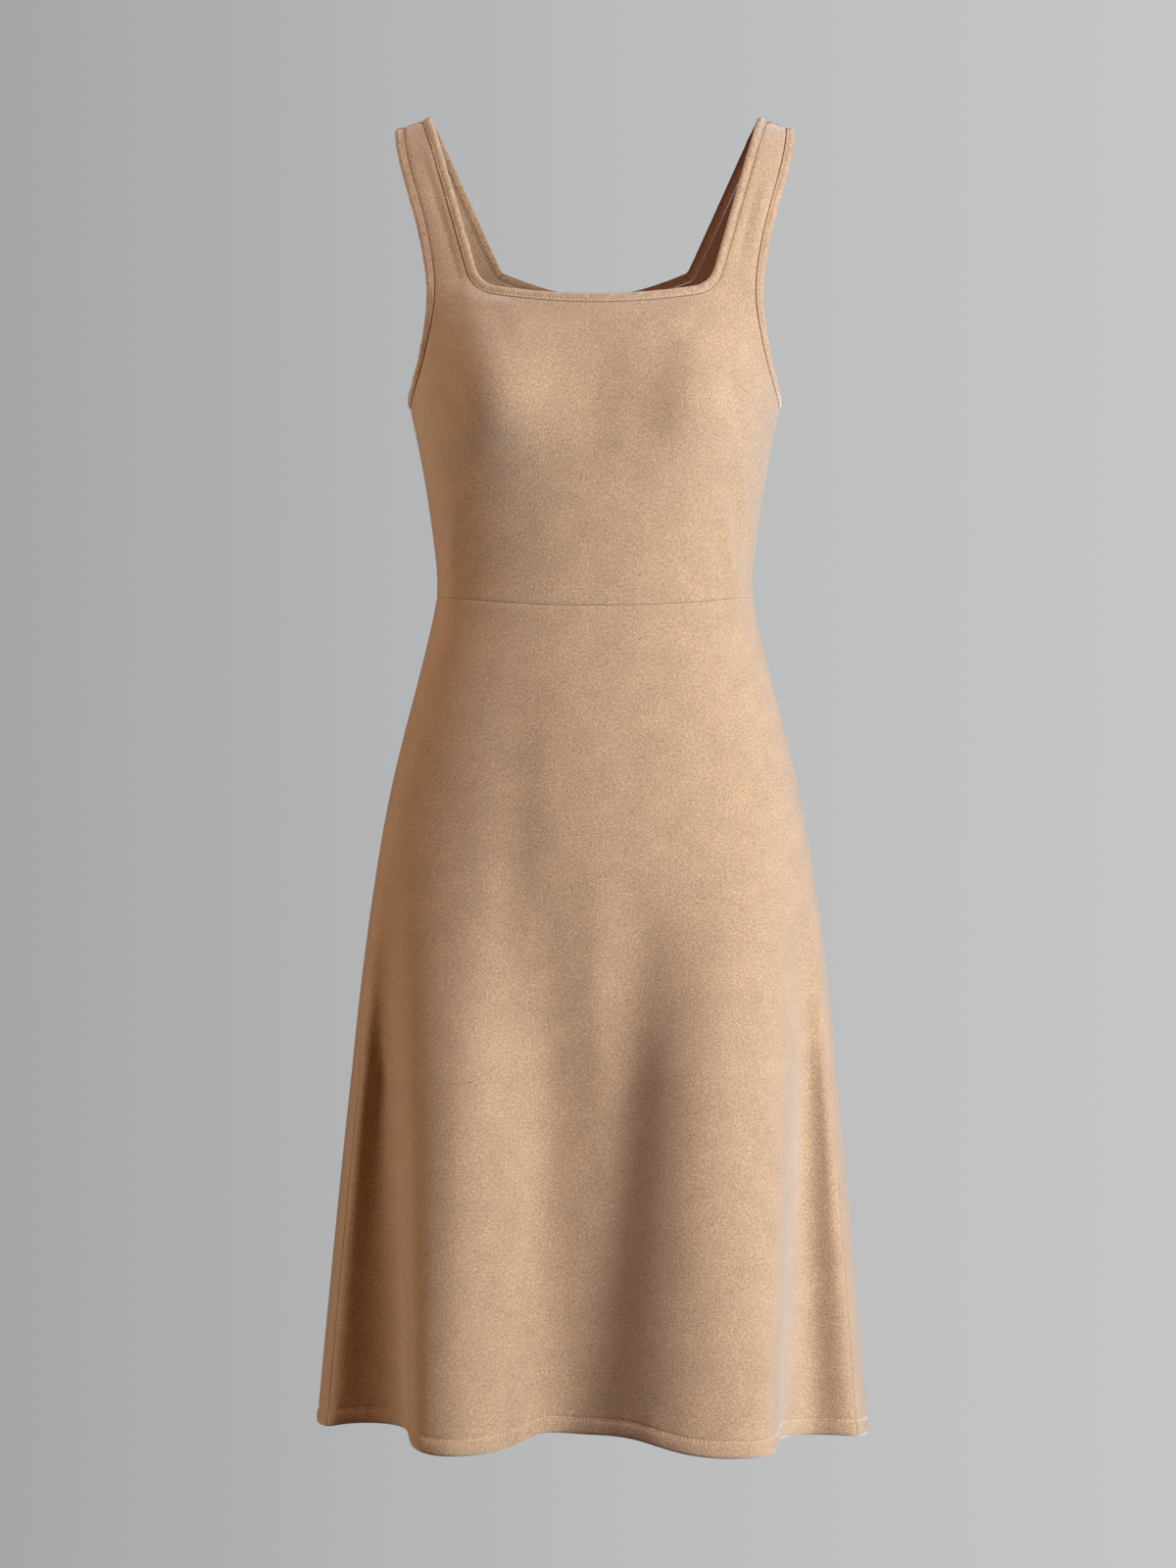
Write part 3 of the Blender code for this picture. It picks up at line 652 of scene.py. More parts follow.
def lower_grid(side, outer_turn, outer_drop, top_turn, top_drop):
    """Turns and drops below the straps. Each column falls from the neck or strap to the
    waist, and its rows are as far apart as they are along the outer edge."""
    rise = (WAIST_DROP - outer_drop[:, None]) / (WAIST_DROP - outer_drop[-1])
    run = lengths_along(form(outer_turn, outer_drop)[:, None], 0)
    pace = run / run[-1]
    even = close_end(QUARTER_TURN * BODY_RADIUS, SIDE_COLUMN - EXTRA)
    place = (1 - pace) * even + pace * top_turn / top_turn[-1]
    # close to the outer edge the rows meet those of that edge
    beside_edge = place**EDGE_PULL
    rise = (1 - beside_edge) * run / run[-1] + beside_edge * rise
    turn = place * outer_turn[:, None]
    seam_turn = turn if side == "front" else HALF_TURN - turn
    return turn, (1 - rise) * waist_drop(seam_turn) + rise * top_drop


def half_panel(side):
    """Turns and drops of half a bodice panel by row and column. Rows run from the waist to
    the shoulder, and columns from the middle to the side seam and armhole."""
    neck = inner_edge(side)
    strap_inner = [values[CORNER_COLUMN:] for values in neck]
    outer = outer_edge(side, strap_inner[1])
    strap = strap_grid(*strap_inner, *(values[CORNER_ROW:] for values in outer))
    top = [np.concatenate([values[:CORNER_COLUMN], grid[0]]) for values, grid in zip(neck, strap)]
    lower = lower_grid(side, *(values[: CORNER_ROW + 1] for values in outer), *top)
    panel = np.zeros((2, SHOULDER_ROW + 1, SIDE_COLUMN + 1))
    panel[:, CORNER_ROW:, CORNER_COLUMN:] = strap
    panel[:, : CORNER_ROW + 1] = lower
    return panel


def bodice_grid(side):
    """Turns and drops of a whole bodice panel: the half panel and its mirror image."""
    turn, drop = half_panel(side)
    turn = np.concatenate([-turn[:, :0:-1], turn], axis=1)
    drop = np.concatenate([drop[:, :0:-1], drop], axis=1)
    return turn if side == "front" else HALF_TURN - turn, drop


def bodice_cells():
    """The cells of a bodice panel that hold cloth: all but those above the neck edge."""
    row, column = np.mgrid[:SHOULDER_ROW, : 2 * SIDE_COLUMN]
    from_middle = np.abs(column + 0.5 - SIDE_COLUMN)
    return (row < CORNER_ROW) | (from_middle > CORNER_COLUMN)


def neck_path(grid):
    """Values of a panel's grid down one strap, along the neck and up the other strap."""
    left = SIDE_COLUMN - CORNER_COLUMN
    right = SIDE_COLUMN + CORNER_COLUMN
    down = grid[:CORNER_ROW:-1, left]
    up = grid[CORNER_ROW + 1 :, right]
    return np.concatenate([down, grid[CORNER_ROW, left : right + 1], up])


def armhole_path(front, back, column):
    """Values of both panels' grids all round an armhole, from under the arm."""
    rising = front[UNDERARM_ROW:, column]
    falling = back[UNDERARM_ROW:, column][::-1]
    shoulder = (rising[-1:] + falling[:1]) / 2
    under = (rising[:1] + falling[-1:]) / 2
    return np.concatenate([under, rising[1:-1], shoulder, falling[1:-1]])


def panel_rim(points):
    """The points all round a bodice panel's edge, in order."""
    left = SIDE_COLUMN - CORNER_COLUMN
    right = SIDE_COLUMN + CORNER_COLUMN
    return np.concatenate(
        [
            points[0, :-1],
            points[:-1, -1],
            points[-1, : right - 1 : -1],
            points[-2:CORNER_ROW:-1, right],
            points[CORNER_ROW, right:left:-1],
            points[CORNER_ROW:-1, left],
            points[-1, left:0:-1],
            points[-1:0:-1, 0],
        ]
    )


def distance_to(points, path):
    """Least distance from each point to a closed path of straight pieces."""
    flat = points.reshape(-1, 3)
    ahead = np.roll(path, -1, axis=0) - path
    size = np.maximum(np.sum(ahead**2, axis=-1), 1e-18)
    least = np.full(len(flat), np.inf)
    for start, run, square in zip(path, ahead, size):
        offset = flat - start
        share = np.clip(offset @ run / square, 0, 1)
        gap = offset - share[:, None] * run
        np.minimum(least, np.einsum("ij,ij->i", gap, gap), out=least)
    return np.sqrt(least).reshape(points.shape[:-1])


# ---------------------------------------------------------------- meshes


def lengths_along(points, axis):
    """Distance run along one axis of a grid of points, from its first row or column."""
    steps = np.linalg.norm(np.diff(points, axis=axis), axis=-1)
    start = np.zeros_like(np.take(steps, [0], axis=axis))
    return np.concatenate([start, np.cumsum(steps, axis=axis)], axis=axis)


def grid_quads(rows, columns, keep=None):
    """The four corners of each cell of a grid, as an array with one row per cell."""
    index = np.arange(rows * columns).reshape(rows, columns)
    quads = np.stack([index[:-1, :-1], index[:-1, 1:], index[1:, 1:], index[1:, :-1]], axis=-1)
    return quads[keep] if keep is not None else quads.reshape(-1, 4)


def painted_inner_shade(points):
    """How much painted shade darkens points of an inner face, 0 to 1: shade painted into
    the wool's colour, deepest towards the dress's left."""
    right, left = PAINTED_INNER_SHADE
    return right + (left - right) * ease(points[..., 0], PAINTED_INNER_SHADE_START, PAINTED_INNER_SHADE_END)


def new_mesh_object(name, points, quads, uv, material, painted_shade=None):
    """A smooth mesh object at the origin, with a UV map named cloth in metres, and the
    share of painted shade at each point as a point attribute."""
    mesh = bpy.data.meshes.new(name)
    mesh.vertices.add(len(points))
    mesh.vertices.foreach_set("co", points.astype(np.float32).ravel())
    mesh.loops.add(quads.size)
    mesh.loops.foreach_set("vertex_index", quads.astype(np.int32).ravel())
    mesh.polygons.add(len(quads))
    mesh.polygons.foreach_set("loop_start", np.arange(0, quads.size, 4, dtype=np.int32))
    mesh.update(calc_edges=True)
    layer = mesh.uv_layers.new(name="cloth")
    layer.data.foreach_set("uv", uv[quads.ravel()].astype(np.float32).ravel())
    if painted_shade is not None:
        share = mesh.attributes.new("painted_shade", "FLOAT", "POINT")
        share.data.foreach_set("value", painted_shade.astype(np.float32).ravel())
    mesh.validate()
    mesh.shade_smooth()
    mesh.materials.append(material)
    made = bpy.data.objects.new(name, mesh)
    bpy.context.scene.collection.objects.link(made)
    return made


def wall_object(name, outer, inner, uv, material, keep=None):
    """A cloth wall between two grids of points: the outer grid's cells facing out, the
    inner grid's facing in, and a cell on each edge that only one outer cell has."""
    rows, columns = outer.shape[:2]
    count = rows * columns
    sheet = grid_quads(rows, columns, keep)
    flat = outer.reshape(-1, 3)
    corner = flat[sheet]
    facing = np.cross(corner[:, 2] - corner[:, 0], corner[:, 3] - corner[:, 1])
    depth = flat[sheet[:, 0]] - inner.reshape(-1, 3)[sheet[:, 0]]
    if np.sum(facing * depth) < 0:
        sheet = sheet[:, ::-1]
    start = sheet.ravel()
    end = np.roll(sheet, -1, axis=1).ravel()
    forward = start.astype(np.int64) * count + end
    backward = end.astype(np.int64) * count + start
    rim = ~np.isin(forward, backward)
    side = np.stack([end[rim], start[rim], start[rim] + count, end[rim] + count], axis=-1)
    quads = np.concatenate([sheet, sheet[:, ::-1] + count, side])
    points = np.concatenate([flat, inner.reshape(-1, 3)])
    used = np.unique(quads)
    number = np.zeros(2 * count, int)
    number[used] = np.arange(len(used))
    double_uv = np.tile(uv.reshape(-1, 2), (2, 1))[used]
    # painted shade: none on the outer face, and darkening the inner face
    painted_shade = np.concatenate([np.zeros(count), painted_inner_shade(inner).ravel()])[used]
    piece = new_mesh_object(name, points[used], number[quads], double_uv, material, painted_shade)
    wrong = np.ones(len(quads), np.int32)
    wrong[: len(sheet)] = 0
    lay_wrong_side(piece, wrong)
    return piece


def pressed_fold(piece):
    """Marks the faces on the fold over the shoulder, where pressing lays the nap flat:
    those near the top that turn upwards."""
    faces = piece.data.polygons
    centre = np.zeros(3 * len(faces), np.float32)
    normal = np.zeros(3 * len(faces), np.float32)
    faces.foreach_get("center", centre)
    faces.foreach_get("normal", normal)
    return (centre[2::3] > -PRESSED_DEPTH) & (normal[2::3] > PRESSED_TILT)


def lay_wrong_side(piece, wrong):
    """Gives a piece the flatter wool as its second material, on the marked faces and on
    the fold over the shoulder."""
    piece.data.materials.append(wrong_side_wool(bpy.context.scene.dress_wool))
    flatter = np.maximum(wrong, pressed_fold(piece)).astype(np.int32)
    piece.data.polygons.foreach_set("material_index", flatter)
    piece.data.update()


def tube_quads(rings, sides, closed):
    """The cells of a tube through rings of points. The ends of one that isn't a loop are
    filled with cells between the two halves of the end ring."""
    row = np.arange(rings if closed else rings - 1)[:, None] * sides
    after = (row + sides) % (rings * sides)
    column = np.arange(sides)[None, :]
    beside = (column + 1) % sides
    corners = (row + column, row + beside, after + beside, after + column)
    quads = np.stack(np.broadcast_arrays(*corners), axis=-1).reshape(-1, 4)
    if closed:
        return quads
    step = np.arange(sides // 2 - 1)
    cap = np.stack([step, step + 1, sides - 2 - step, sides - 1 - step], axis=-1)
    return np.concatenate([quads, cap[:, ::-1], cap + (rings - 1) * sides])


def facing_out(points, quads):
    """The cells of a closed shape, turned to face out. Its volume is the sum of the
    cells' cones from the origin, and is above zero when they do."""
    corner = points[quads]
    first = np.cross(corner[:, 1] - corner[:, 0], corner[:, 2] - corner[:, 0])
    second = np.cross(corner[:, 2] - corner[:, 0], corner[:, 3] - corner[:, 0])
    volume = np.sum(corner[:, 0] * (first + second))
    return quads if volume > 0 else quads[:, ::-1]


def tube_object(name, rings, closed, uv, material, painted_shade):
    """A closed tube through rings of points, its ends filled when it isn't a loop."""
    points = rings.reshape(-1, 3)
    quads = facing_out(points, tube_quads(*rings.shape[:2], closed))
    return new_mesh_object(name, points, quads, uv.reshape(-1, 2), material, painted_shade)


def place_on_frame(piece, slot, *nodes):
    """Rides the piece on the dress's one body, in place of its CAD nodes."""
    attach(piece, "root")
    if nodes:
        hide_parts(*nodes)


def cut_area(panel):
    """Flat area of a panel's cloth: half of its whole surface, which has two faces."""
    areas = np.zeros(len(panel.data.polygons), np.float32)
    panel.data.polygons.foreach_get("area", areas)
    return float(areas.sum()) / 2


# ---------------------------------------------------------------- panels


def cloth_place(turn, drop, middle):
    """U and V of places on a bodice panel: the girth from the panel's middle turn at that
    drop, and the way down the cloth at that turn, both read between the rows of a table."""
    turns = middle + np.linspace(-QUARTER_TURN, QUARTER_TURN, CLOTH_TABLE[1])
    roots = np.linspace(0, math.sqrt(WAIST_DROP + WAIST_FRONT_DIP), CLOTH_TABLE[0])
    points = form(turns[None, :], roots[:, None] ** 2)
    girth = lengths_along(points, 1)
    girth = girth - girth[:, CLOTH_TABLE[1] // 2, None]
    down = lengths_along(points, 0)
    # just short of the last row and column, so that there is always one after it
    column = np.clip((turn - turns[0]) / (turns[1] - turns[0]), 0, CLOTH_TABLE[1] - 1.001)
    row = np.clip(np.sqrt(np.maximum(drop, 0)) / roots[1], 0, CLOTH_TABLE[0] - 1.001)
    i = row.astype(int)
    j = column.astype(int)
    past_row = row - i
    past_column = column - j

    def read(table):
        upper = (1 - past_column) * table[i, j] + past_column * table[i, j + 1]
        lower = (1 - past_column) * table[i + 1, j] + past_column * table[i + 1, j + 1]
        return (1 - past_row) * upper + past_row * lower

    return np.stack([read(girth), -read(down)], axis=-1)


def bodice_base(side, sizes):
    """Turns, drops, points and normals of a bodice panel on the form, its sewn edges half
    a gap from the panels that they meet."""
    turn, drop = bodice_grid(side)
    normal = outward(turn, drop)
    base = form(turn, drop)
    half = sizes.seam_gap / 2
    to_panel = -half if side == "front" else half
    base[-1, :, 1] = to_panel
    for edge in (0, -1):
        base[: UNDERARM_ROW + 1, edge, 1] = to_panel
    base[0, :, 2] += half
    return turn, drop, base, normal


def bodice_faces(side, sizes):
    """Outer face, inner face and UV of a bodice panel: the form lifted by its creases and
    sunk at its sewn edges, and one wall further in with the creases a little softer."""
    turn, drop, base, normal = bodice_base(side, sizes)
    away = distance_to(base, panel_rim(base))
    sink = rim_drop(away, sizes.edge_radius, sizes.ditch, sizes.ditch_width)
    grow = ease(away, 0, BODICE_CREASE_START)
    lift = crease_lift(turn, drop, base[..., 0]) * grow
    outer = base + (lift - sink)[..., None] * normal
    inner = base + (lift * grow - sizes.wall)[..., None] * normal
    return outer, inner, cloth_place(turn, drop, MIDDLE_TURN[side])


def side_seam(drop):
    """Turn of the side seam, which swings to the front below the hips."""
    return QUARTER_TURN - SIDE_SEAM_SHIFT * ease(drop, SIDE_SEAM_SHIFT_START, SIDE_SEAM_SHIFT_END)


def skirt_levels(sizes):
    """Rows of a skirt panel: their share of the way down, how far past it the points of
    the outer and the inner face lie, and how deep both lie under the form. The cloth runs
    down to the hem, curls under in a half round and runs back up inside."""
    half = sizes.wall / 2
    curl = half + sizes.hem_gap / 2
    reach = curl + half
    low = -reach
    length = HEM_LEVEL - WAIST_DROP
    zone = -np.linspace(sizes.hem_depth + HEM_MARGIN, reach, HEM_ROWS + 1)
    body = close_start(length, SKIRT_ROWS)[:-1] * (1 + zone[0] / length)
    above = np.zeros(len(body))
    angle = np.linspace(0, math.pi, HEM_CURL_STEPS + 1)[1:]
    up = low - (sizes.hem_depth + low) * np.linspace(0, 1, HEM_TURN_UP_ROWS + 1)[1:]
    share = np.concatenate([body, np.ones(len(zone) + len(angle) + len(up))])
    past = np.concatenate([above, zone, low + reach * np.sin(angle), up])
    past_in = np.concatenate([above, zone, low + (curl - half) * np.sin(angle), up])
    turned = reach - reach * np.cos(angle)
    turned_in = reach - (curl - half) * np.cos(angle)
    outer = np.concatenate([above, np.zeros_like(zone), turned, np.full(len(up), 2 * reach)])
    straight = np.full(len(body) + len(zone), sizes.wall)
    inner = np.concatenate([straight, turned_in, np.full(len(up), 2 * curl)])
    return share, past, past_in, outer, inner


def skirt_plan(side, share):
    """Turns across a skirt panel, the drop of its hem at each, and the drops of its rows,
    from their share of the way from the waist seam to the hem."""
    front_span = side_seam(WAIST_DROP + share * (HEM_LEVEL - WAIST_DROP))
    span = front_span if side == "front" else HALF_TURN - front_span
    across = 2 * close_both(SKIRT_GIRTH, SKIRT_COLUMNS)[None, :] - 1
    turn = MIDDLE_TURN[side] + across * span
    hem = spline(turn, *around((f.hem_drop,) for f in FOLDS))[..., 0]
    return turn, hem, (1 - share) * waist_drop(turn) + share * hem


def hem_relief(above_edge, run, sizes):
    """How far the hem stands out: a swell between its edge and its stitches, the ditch of
    the stitches, and small puckers round them."""
    above_stitches = above_edge - sizes.hem_depth
    swell = np.sin(math.pi * np.clip(above_edge / sizes.hem_depth, 0, 1)) ** HEM_SWELL_FULLNESS
    ditch = np.exp(-((above_stitches / HEM_DITCH_WIDTH) ** 2))
    pucker = ripple(run, HEM_PUCKERS) * np.exp(-((above_stitches / HEM_PUCKER_WIDTH) ** 2))
    return sizes.hem_swell * swell - sizes.hem_ditch * ditch + pucker


def skirt_faces(side, sizes):
    """Outer face, inner face, UV and hem stitches of a skirt panel with its turned hem: the
    form lifted by its creases, sunk at its seams, and swelled at the hem."""
    share, past, past_in, depth_out, depth_in = (row[:, None] for row in skirt_levels(sizes))
    turn, hem, row_drop = skirt_plan(side, share)
    drop = row_drop + past
    normal = outward(turn, drop)
    half = sizes.seam_gap / 2
    base = form(turn, drop)
    base_in = form(turn, row_drop + past_in)
    toward = unit(base[:, 1:2] - base[:, :1])
    toward_end = unit(base[:, -2:-1] - base[:, -1:])
    for points in (base, base_in):
        points[:, :1] += half * toward
        points[:, -1:] += half * toward_end
        points[0, :, 2] -= half
    run = lengths_along(base, 1)
    to_side = np.minimum(run, run[:, -1:] - run)
    to_waist = drop - waist_drop(turn)
    away = np.minimum(to_side, to_waist)
    sink = rim_drop(away, sizes.edge_radius, sizes.ditch, sizes.ditch_width)
    lift = crease_lift(turn, drop, base[..., 0]) * ease(away, 0, SKIRT_CREASE_START)
    hem_lift = hem_relief(hem - drop, run, sizes)
    on_outside = (depth_out < sizes.wall / 2) * 1.0
    outer = base + (lift + hem_lift * on_outside - sink * on_outside - depth_out)[..., None] * normal
    inner = base_in + (lift - depth_in)[..., None] * normal
    down = lengths_along(outer, 0)
    middle = outer.shape[1] // 2
    uv = np.stack([run - run[:, middle : middle + 1], -down - WAIST_DROP], axis=-1)
    # the stitches lie on the hem's outer row that is nearest to their level
    off_level = np.where((share < 1) | (depth_out > 0), np.inf, np.abs(past + sizes.hem_depth))
    row = int(np.argmin(off_level))
    line = form(turn[row], (hem - sizes.hem_depth)[row])
    line = line + (lift + hem_lift)[row][:, None] * normal[row]
    along = unit(np.gradient(line, axis=0))
    return outer, inner, uv, stitch_places(line, along, normal[row], sizes, False)


# ---------------------------------------------------------------- bands and stitches


def path_frames(edge, normal, closed, towards):
    """For each point of an edge: its direction, the way out over the open side, and the
    face's normal, all at right angles."""
    if closed:
        along = np.roll(edge, -1, axis=0) - np.roll(edge, 1, axis=0)
    else:
        along = np.gradient(edge, axis=0)
    along = unit(along)
    out = unit(np.cross(along, normal))
    if np.sum(out * (towards - edge)) < 0:
        out = -out
    face = unit(np.cross(out, along))
    face = face * np.sign(np.sum(face * normal, axis=-1, keepdims=True))
    return along, out, face


def stitch_places(line, along, face, sizes, closed):
    """Middles, directions and normals of the stitches in a row: those of its line, read at
    even steps of one stitch and one gap. A row that isn't a loop has none at its ends."""
    columns = np.concatenate([line, along, face], axis=-1)
    if closed:
        columns = np.concatenate([columns, columns[:1]])
    run = lengths_along(columns[:, :3], 0)
    count = max(int(round(run[-1] / (sizes.stitch_length + sizes.stitch_gap))), 2)
    at = np.linspace(0, run[-1], count + 1)
    at = at[:-1] if closed else at[1:-1]
    values = np.stack([np.interp(at, run, column) for column in columns.T], axis=-1)
    return values[:, :3], unit(values[:, 3:6]), unit(values[:, 6:9])


def band_rings(edge, normal, closed, towards, corners, sizes):
    """Rings of a rolled band: its section carried along the edge, puckered a little by
    the stitches, and cut along the bisector at each sharp corner of the path."""
    along, out, face = path_frames(edge, normal, closed, towards)
    section = np.array(BAND_SECTION)
    steps = np.arange(-3, len(section) + 4)
    looped = section[steps % len(section)]
    at = np.linspace(0, len(section), BAND_SECTION_STEPS + 1)[:-1]
    profile = spline(at, steps, looped)
    way = sizes.seam_gap + sizes.band_width * profile[:, 0]
    height = sizes.band_thick * profile[:, 1]
    run = lengths_along(edge, 0)
    growth = np.clip(profile[None, :, 0] * BAND_SWELL_GROWTH, 0, 1)
    swell = ripple(run, BAND_SWELLS)[:, None] * growth
    over = height[None, :] + swell * np.sign(height + sizes.wall / 2)[None, :]
    rings = edge[:, None] + way[None, :, None] * out[:, None] + over[..., None] * face[:, None]
    for corner in corners:
        before = np.arange(len(edge)) < corner
        reach = np.einsum("ijk,k->ij", rings - edge[corner], along[corner])
        near = np.abs(np.arange(len(edge)) - corner)[:, None] < CORNER_STEPS * 3
        beyond = np.where(before[:, None], np.maximum(reach, 0), np.minimum(reach, 0)) * near
        rings -= beyond[..., None] * along[corner]
    return rings, run, profile


def add_band(node, edge, normal, closed, towards, corners, sizes, material):
    """One rolled band, with U along its length and V round its section, in metres."""
    rings, run, profile = band_rings(edge, normal, closed, towards, corners, sizes)
    if not closed:
        rings[[0, -1], :, 1] = edge[[0, -1], 1][:, None]
    around_it = np.linspace(0, 2 * sizes.band_width, len(profile))
    uv = np.stack(np.broadcast_arrays(run[:, None], around_it[None, :]), axis=-1)
    facing_in = ease(-profile[:, 1], *BAND_TURNS_IN)
    # painted shade on the half of the band's section that turns in
    painted_shade = painted_inner_shade(rings) * facing_in[None, :]
    piece = tube_object(node + "_cloth", rings, closed, uv, material, painted_shade)
    wrong = np.zeros(len(piece.data.polygons), np.int32)
    lengths = len(rings) if closed else len(rings) - 1
    wrong[: lengths * len(profile)] = np.tile(facing_in > 0.5, lengths)
    lay_wrong_side(piece, wrong)
    place_on_frame(piece, "band", node)


def stitch_row(middle, along, face, sizes):
    """Points and faces of a row of stitches. Each is a short thread whose middle stands
    proud and whose two ends dip into the cloth: a circle carried along a parabola."""
    share = np.linspace(-1, 1, STITCH_RINGS)
    spin = np.linspace(0, 2 * math.pi, STITCH_SIDES, endpoint=False)
    radius = sizes.thread * np.sqrt(np.maximum(1 - share**4, STITCH_END))
    length = share * sizes.stitch_length / 2
    rise = sizes.thread * (STITCH_RISE - STITCH_DIP * share**2)
    beside = np.cross(face, along)
    ring_side = radius[:, None] * np.cos(spin)[None, :]
    ring_up = radius[:, None] * np.sin(spin)[None, :] + rise[:, None]
    ring_along = np.broadcast_to(length[:, None], ring_side.shape)
    local = np.stack([ring_along, ring_side, ring_up], axis=-1).reshape(-1, 3)
    axes = np.stack([along, beside, face], axis=1)
    points = middle[:, None] + np.einsum("pk,nkx->npx", local, axes)
    one = facing_out(local, tube_quads(STITCH_RINGS, STITCH_SIDES, False))
    # a left-handed frame would turn the thread inside out
    if np.linalg.det(axes[0]) < 0:
        one = one[:, ::-1]
    size = STITCH_RINGS * STITCH_SIDES
    quads = (one[None] + np.arange(len(middle))[:, None, None] * size).reshape(-1, 4)
    return points.reshape(-1, 3), quads


def add_stitches(name, rows, sizes, look, painted_shade=False):
    """One piece of all the stitches in several rows of (middle, along, face)."""
    points = []
    quads = []
    count = 0
    for middle, along, face in rows:
        row_points, row_quads = stitch_row(middle, along, face, sizes)
        points.append(row_points)
        quads.append(row_quads + count)
        count += len(row_points)
    points = np.concatenate(points)
    uv = points[:, [0, 2]]
    # stitches on the inside take the painted shade of the wool round them
    shaded = painted_inner_shade(points) if painted_shade else None
    piece = new_mesh_object(name, points, np.concatenate(quads), uv, sewing_thread(look), shaded)
    place_on_frame(piece, "band")


def band_stitches(edge, normal, closed, towards, sizes, height):
    """Middles, directions and normals of the stitches along a band, at the line where it
    meets the panel. Those below the panel's face stand out on the inside."""
    along, out, face = path_frames(edge, normal, closed, towards)
    way = sizes.seam_gap + STITCH_PLACE * sizes.band_width
    line = edge + way * out + height * sizes.band_thick * face
    return stitch_places(line, along, face * np.sign(height), sizes, closed)


# ---------------------------------------------------------------- materials


class NodeSheet:
    """Adds and links the nodes of one material, in named columns."""

    def __init__(self, name):
        self.material = bpy.data.materials.new(name)
        self.material.use_nodes = True
        self.tree = self.material.node_tree
        self.shader = self.tree.nodes["Principled BSDF"]
        self.output = self.tree.nodes["Material Output"]

    def add(self, kind, label, **values):
        node = self.tree.nodes.new(kind)
        node.label = label
        for key, value in values.items():
            setattr(node, key, value)
        return node

    def link(self, start, end):
        self.tree.links.new(start, end)


def noise(sheet, vector, label, scale, detail=2.0, roughness=0.5, distortion=0.0):
    """A noise texture read at the vector; its height is 0 to 1 about one half."""
    node = sheet.add("ShaderNodeTexNoise", label)
    node.inputs["Scale"].default_value = scale
    node.inputs["Detail"].default_value = detail
    node.inputs["Roughness"].default_value = roughness
    node.inputs["Distortion"].default_value = distortion
    sheet.link(vector, node.inputs["Vector"])
    return node.outputs["Fac"]


def ramp(sheet, value, label, stops):
    """A colour ramp through (place, colour) stops."""
    node = sheet.add("ShaderNodeValToRGB", label)
    points = node.color_ramp.elements
    while len(points) < len(stops):
        points.new(0.5)
    for point, (place, colour) in zip(points, stops):
        point.position = place
        point.color = (*colour, 1.0)
    sheet.link(value, node.inputs["Fac"])
    return node.outputs["Color"]


def mixed(sheet, label, blend, factor, first, second):
    """A colour mix; factor is a number or a socket."""
    node = sheet.add("ShaderNodeMix", label, data_type="RGBA", blend_type=blend)
    if isinstance(factor, float):
        node.inputs["Factor"].default_value = factor
    else:
        sheet.link(factor, node.inputs["Factor"])
    sheet.link(first, node.inputs["A"])
    sheet.link(second, node.inputs["B"])
    return node.outputs["Result"]


def shade(colour, factor):
    """The colour times a factor, at most 1 in each channel."""
    return tuple(min(channel * factor, 1.0) for channel in colour)


def with_painted_inner_shade(sheet, look, colour):
    """The colour as it is on outer faces, and darkened by painted shade on inner ones."""
    painted_shade_colour = sheet.add("ShaderNodeRGB", "shade colour painted inside")
    painted_shade_colour.outputs["Color"].default_value = (*look.painted_shade_colour, 1.0)
    painted_shade = sheet.add("ShaderNodeAttribute", "share of painted shade", attribute_name="painted_shade")
    brown = mixed(sheet, "darkened by painted shade", "MULTIPLY", 1.0, colour, painted_shade_colour.outputs["Color"])
    return mixed(sheet, "with or without painted shade", "MIX", painted_shade.outputs["Fac"], colour, brown)


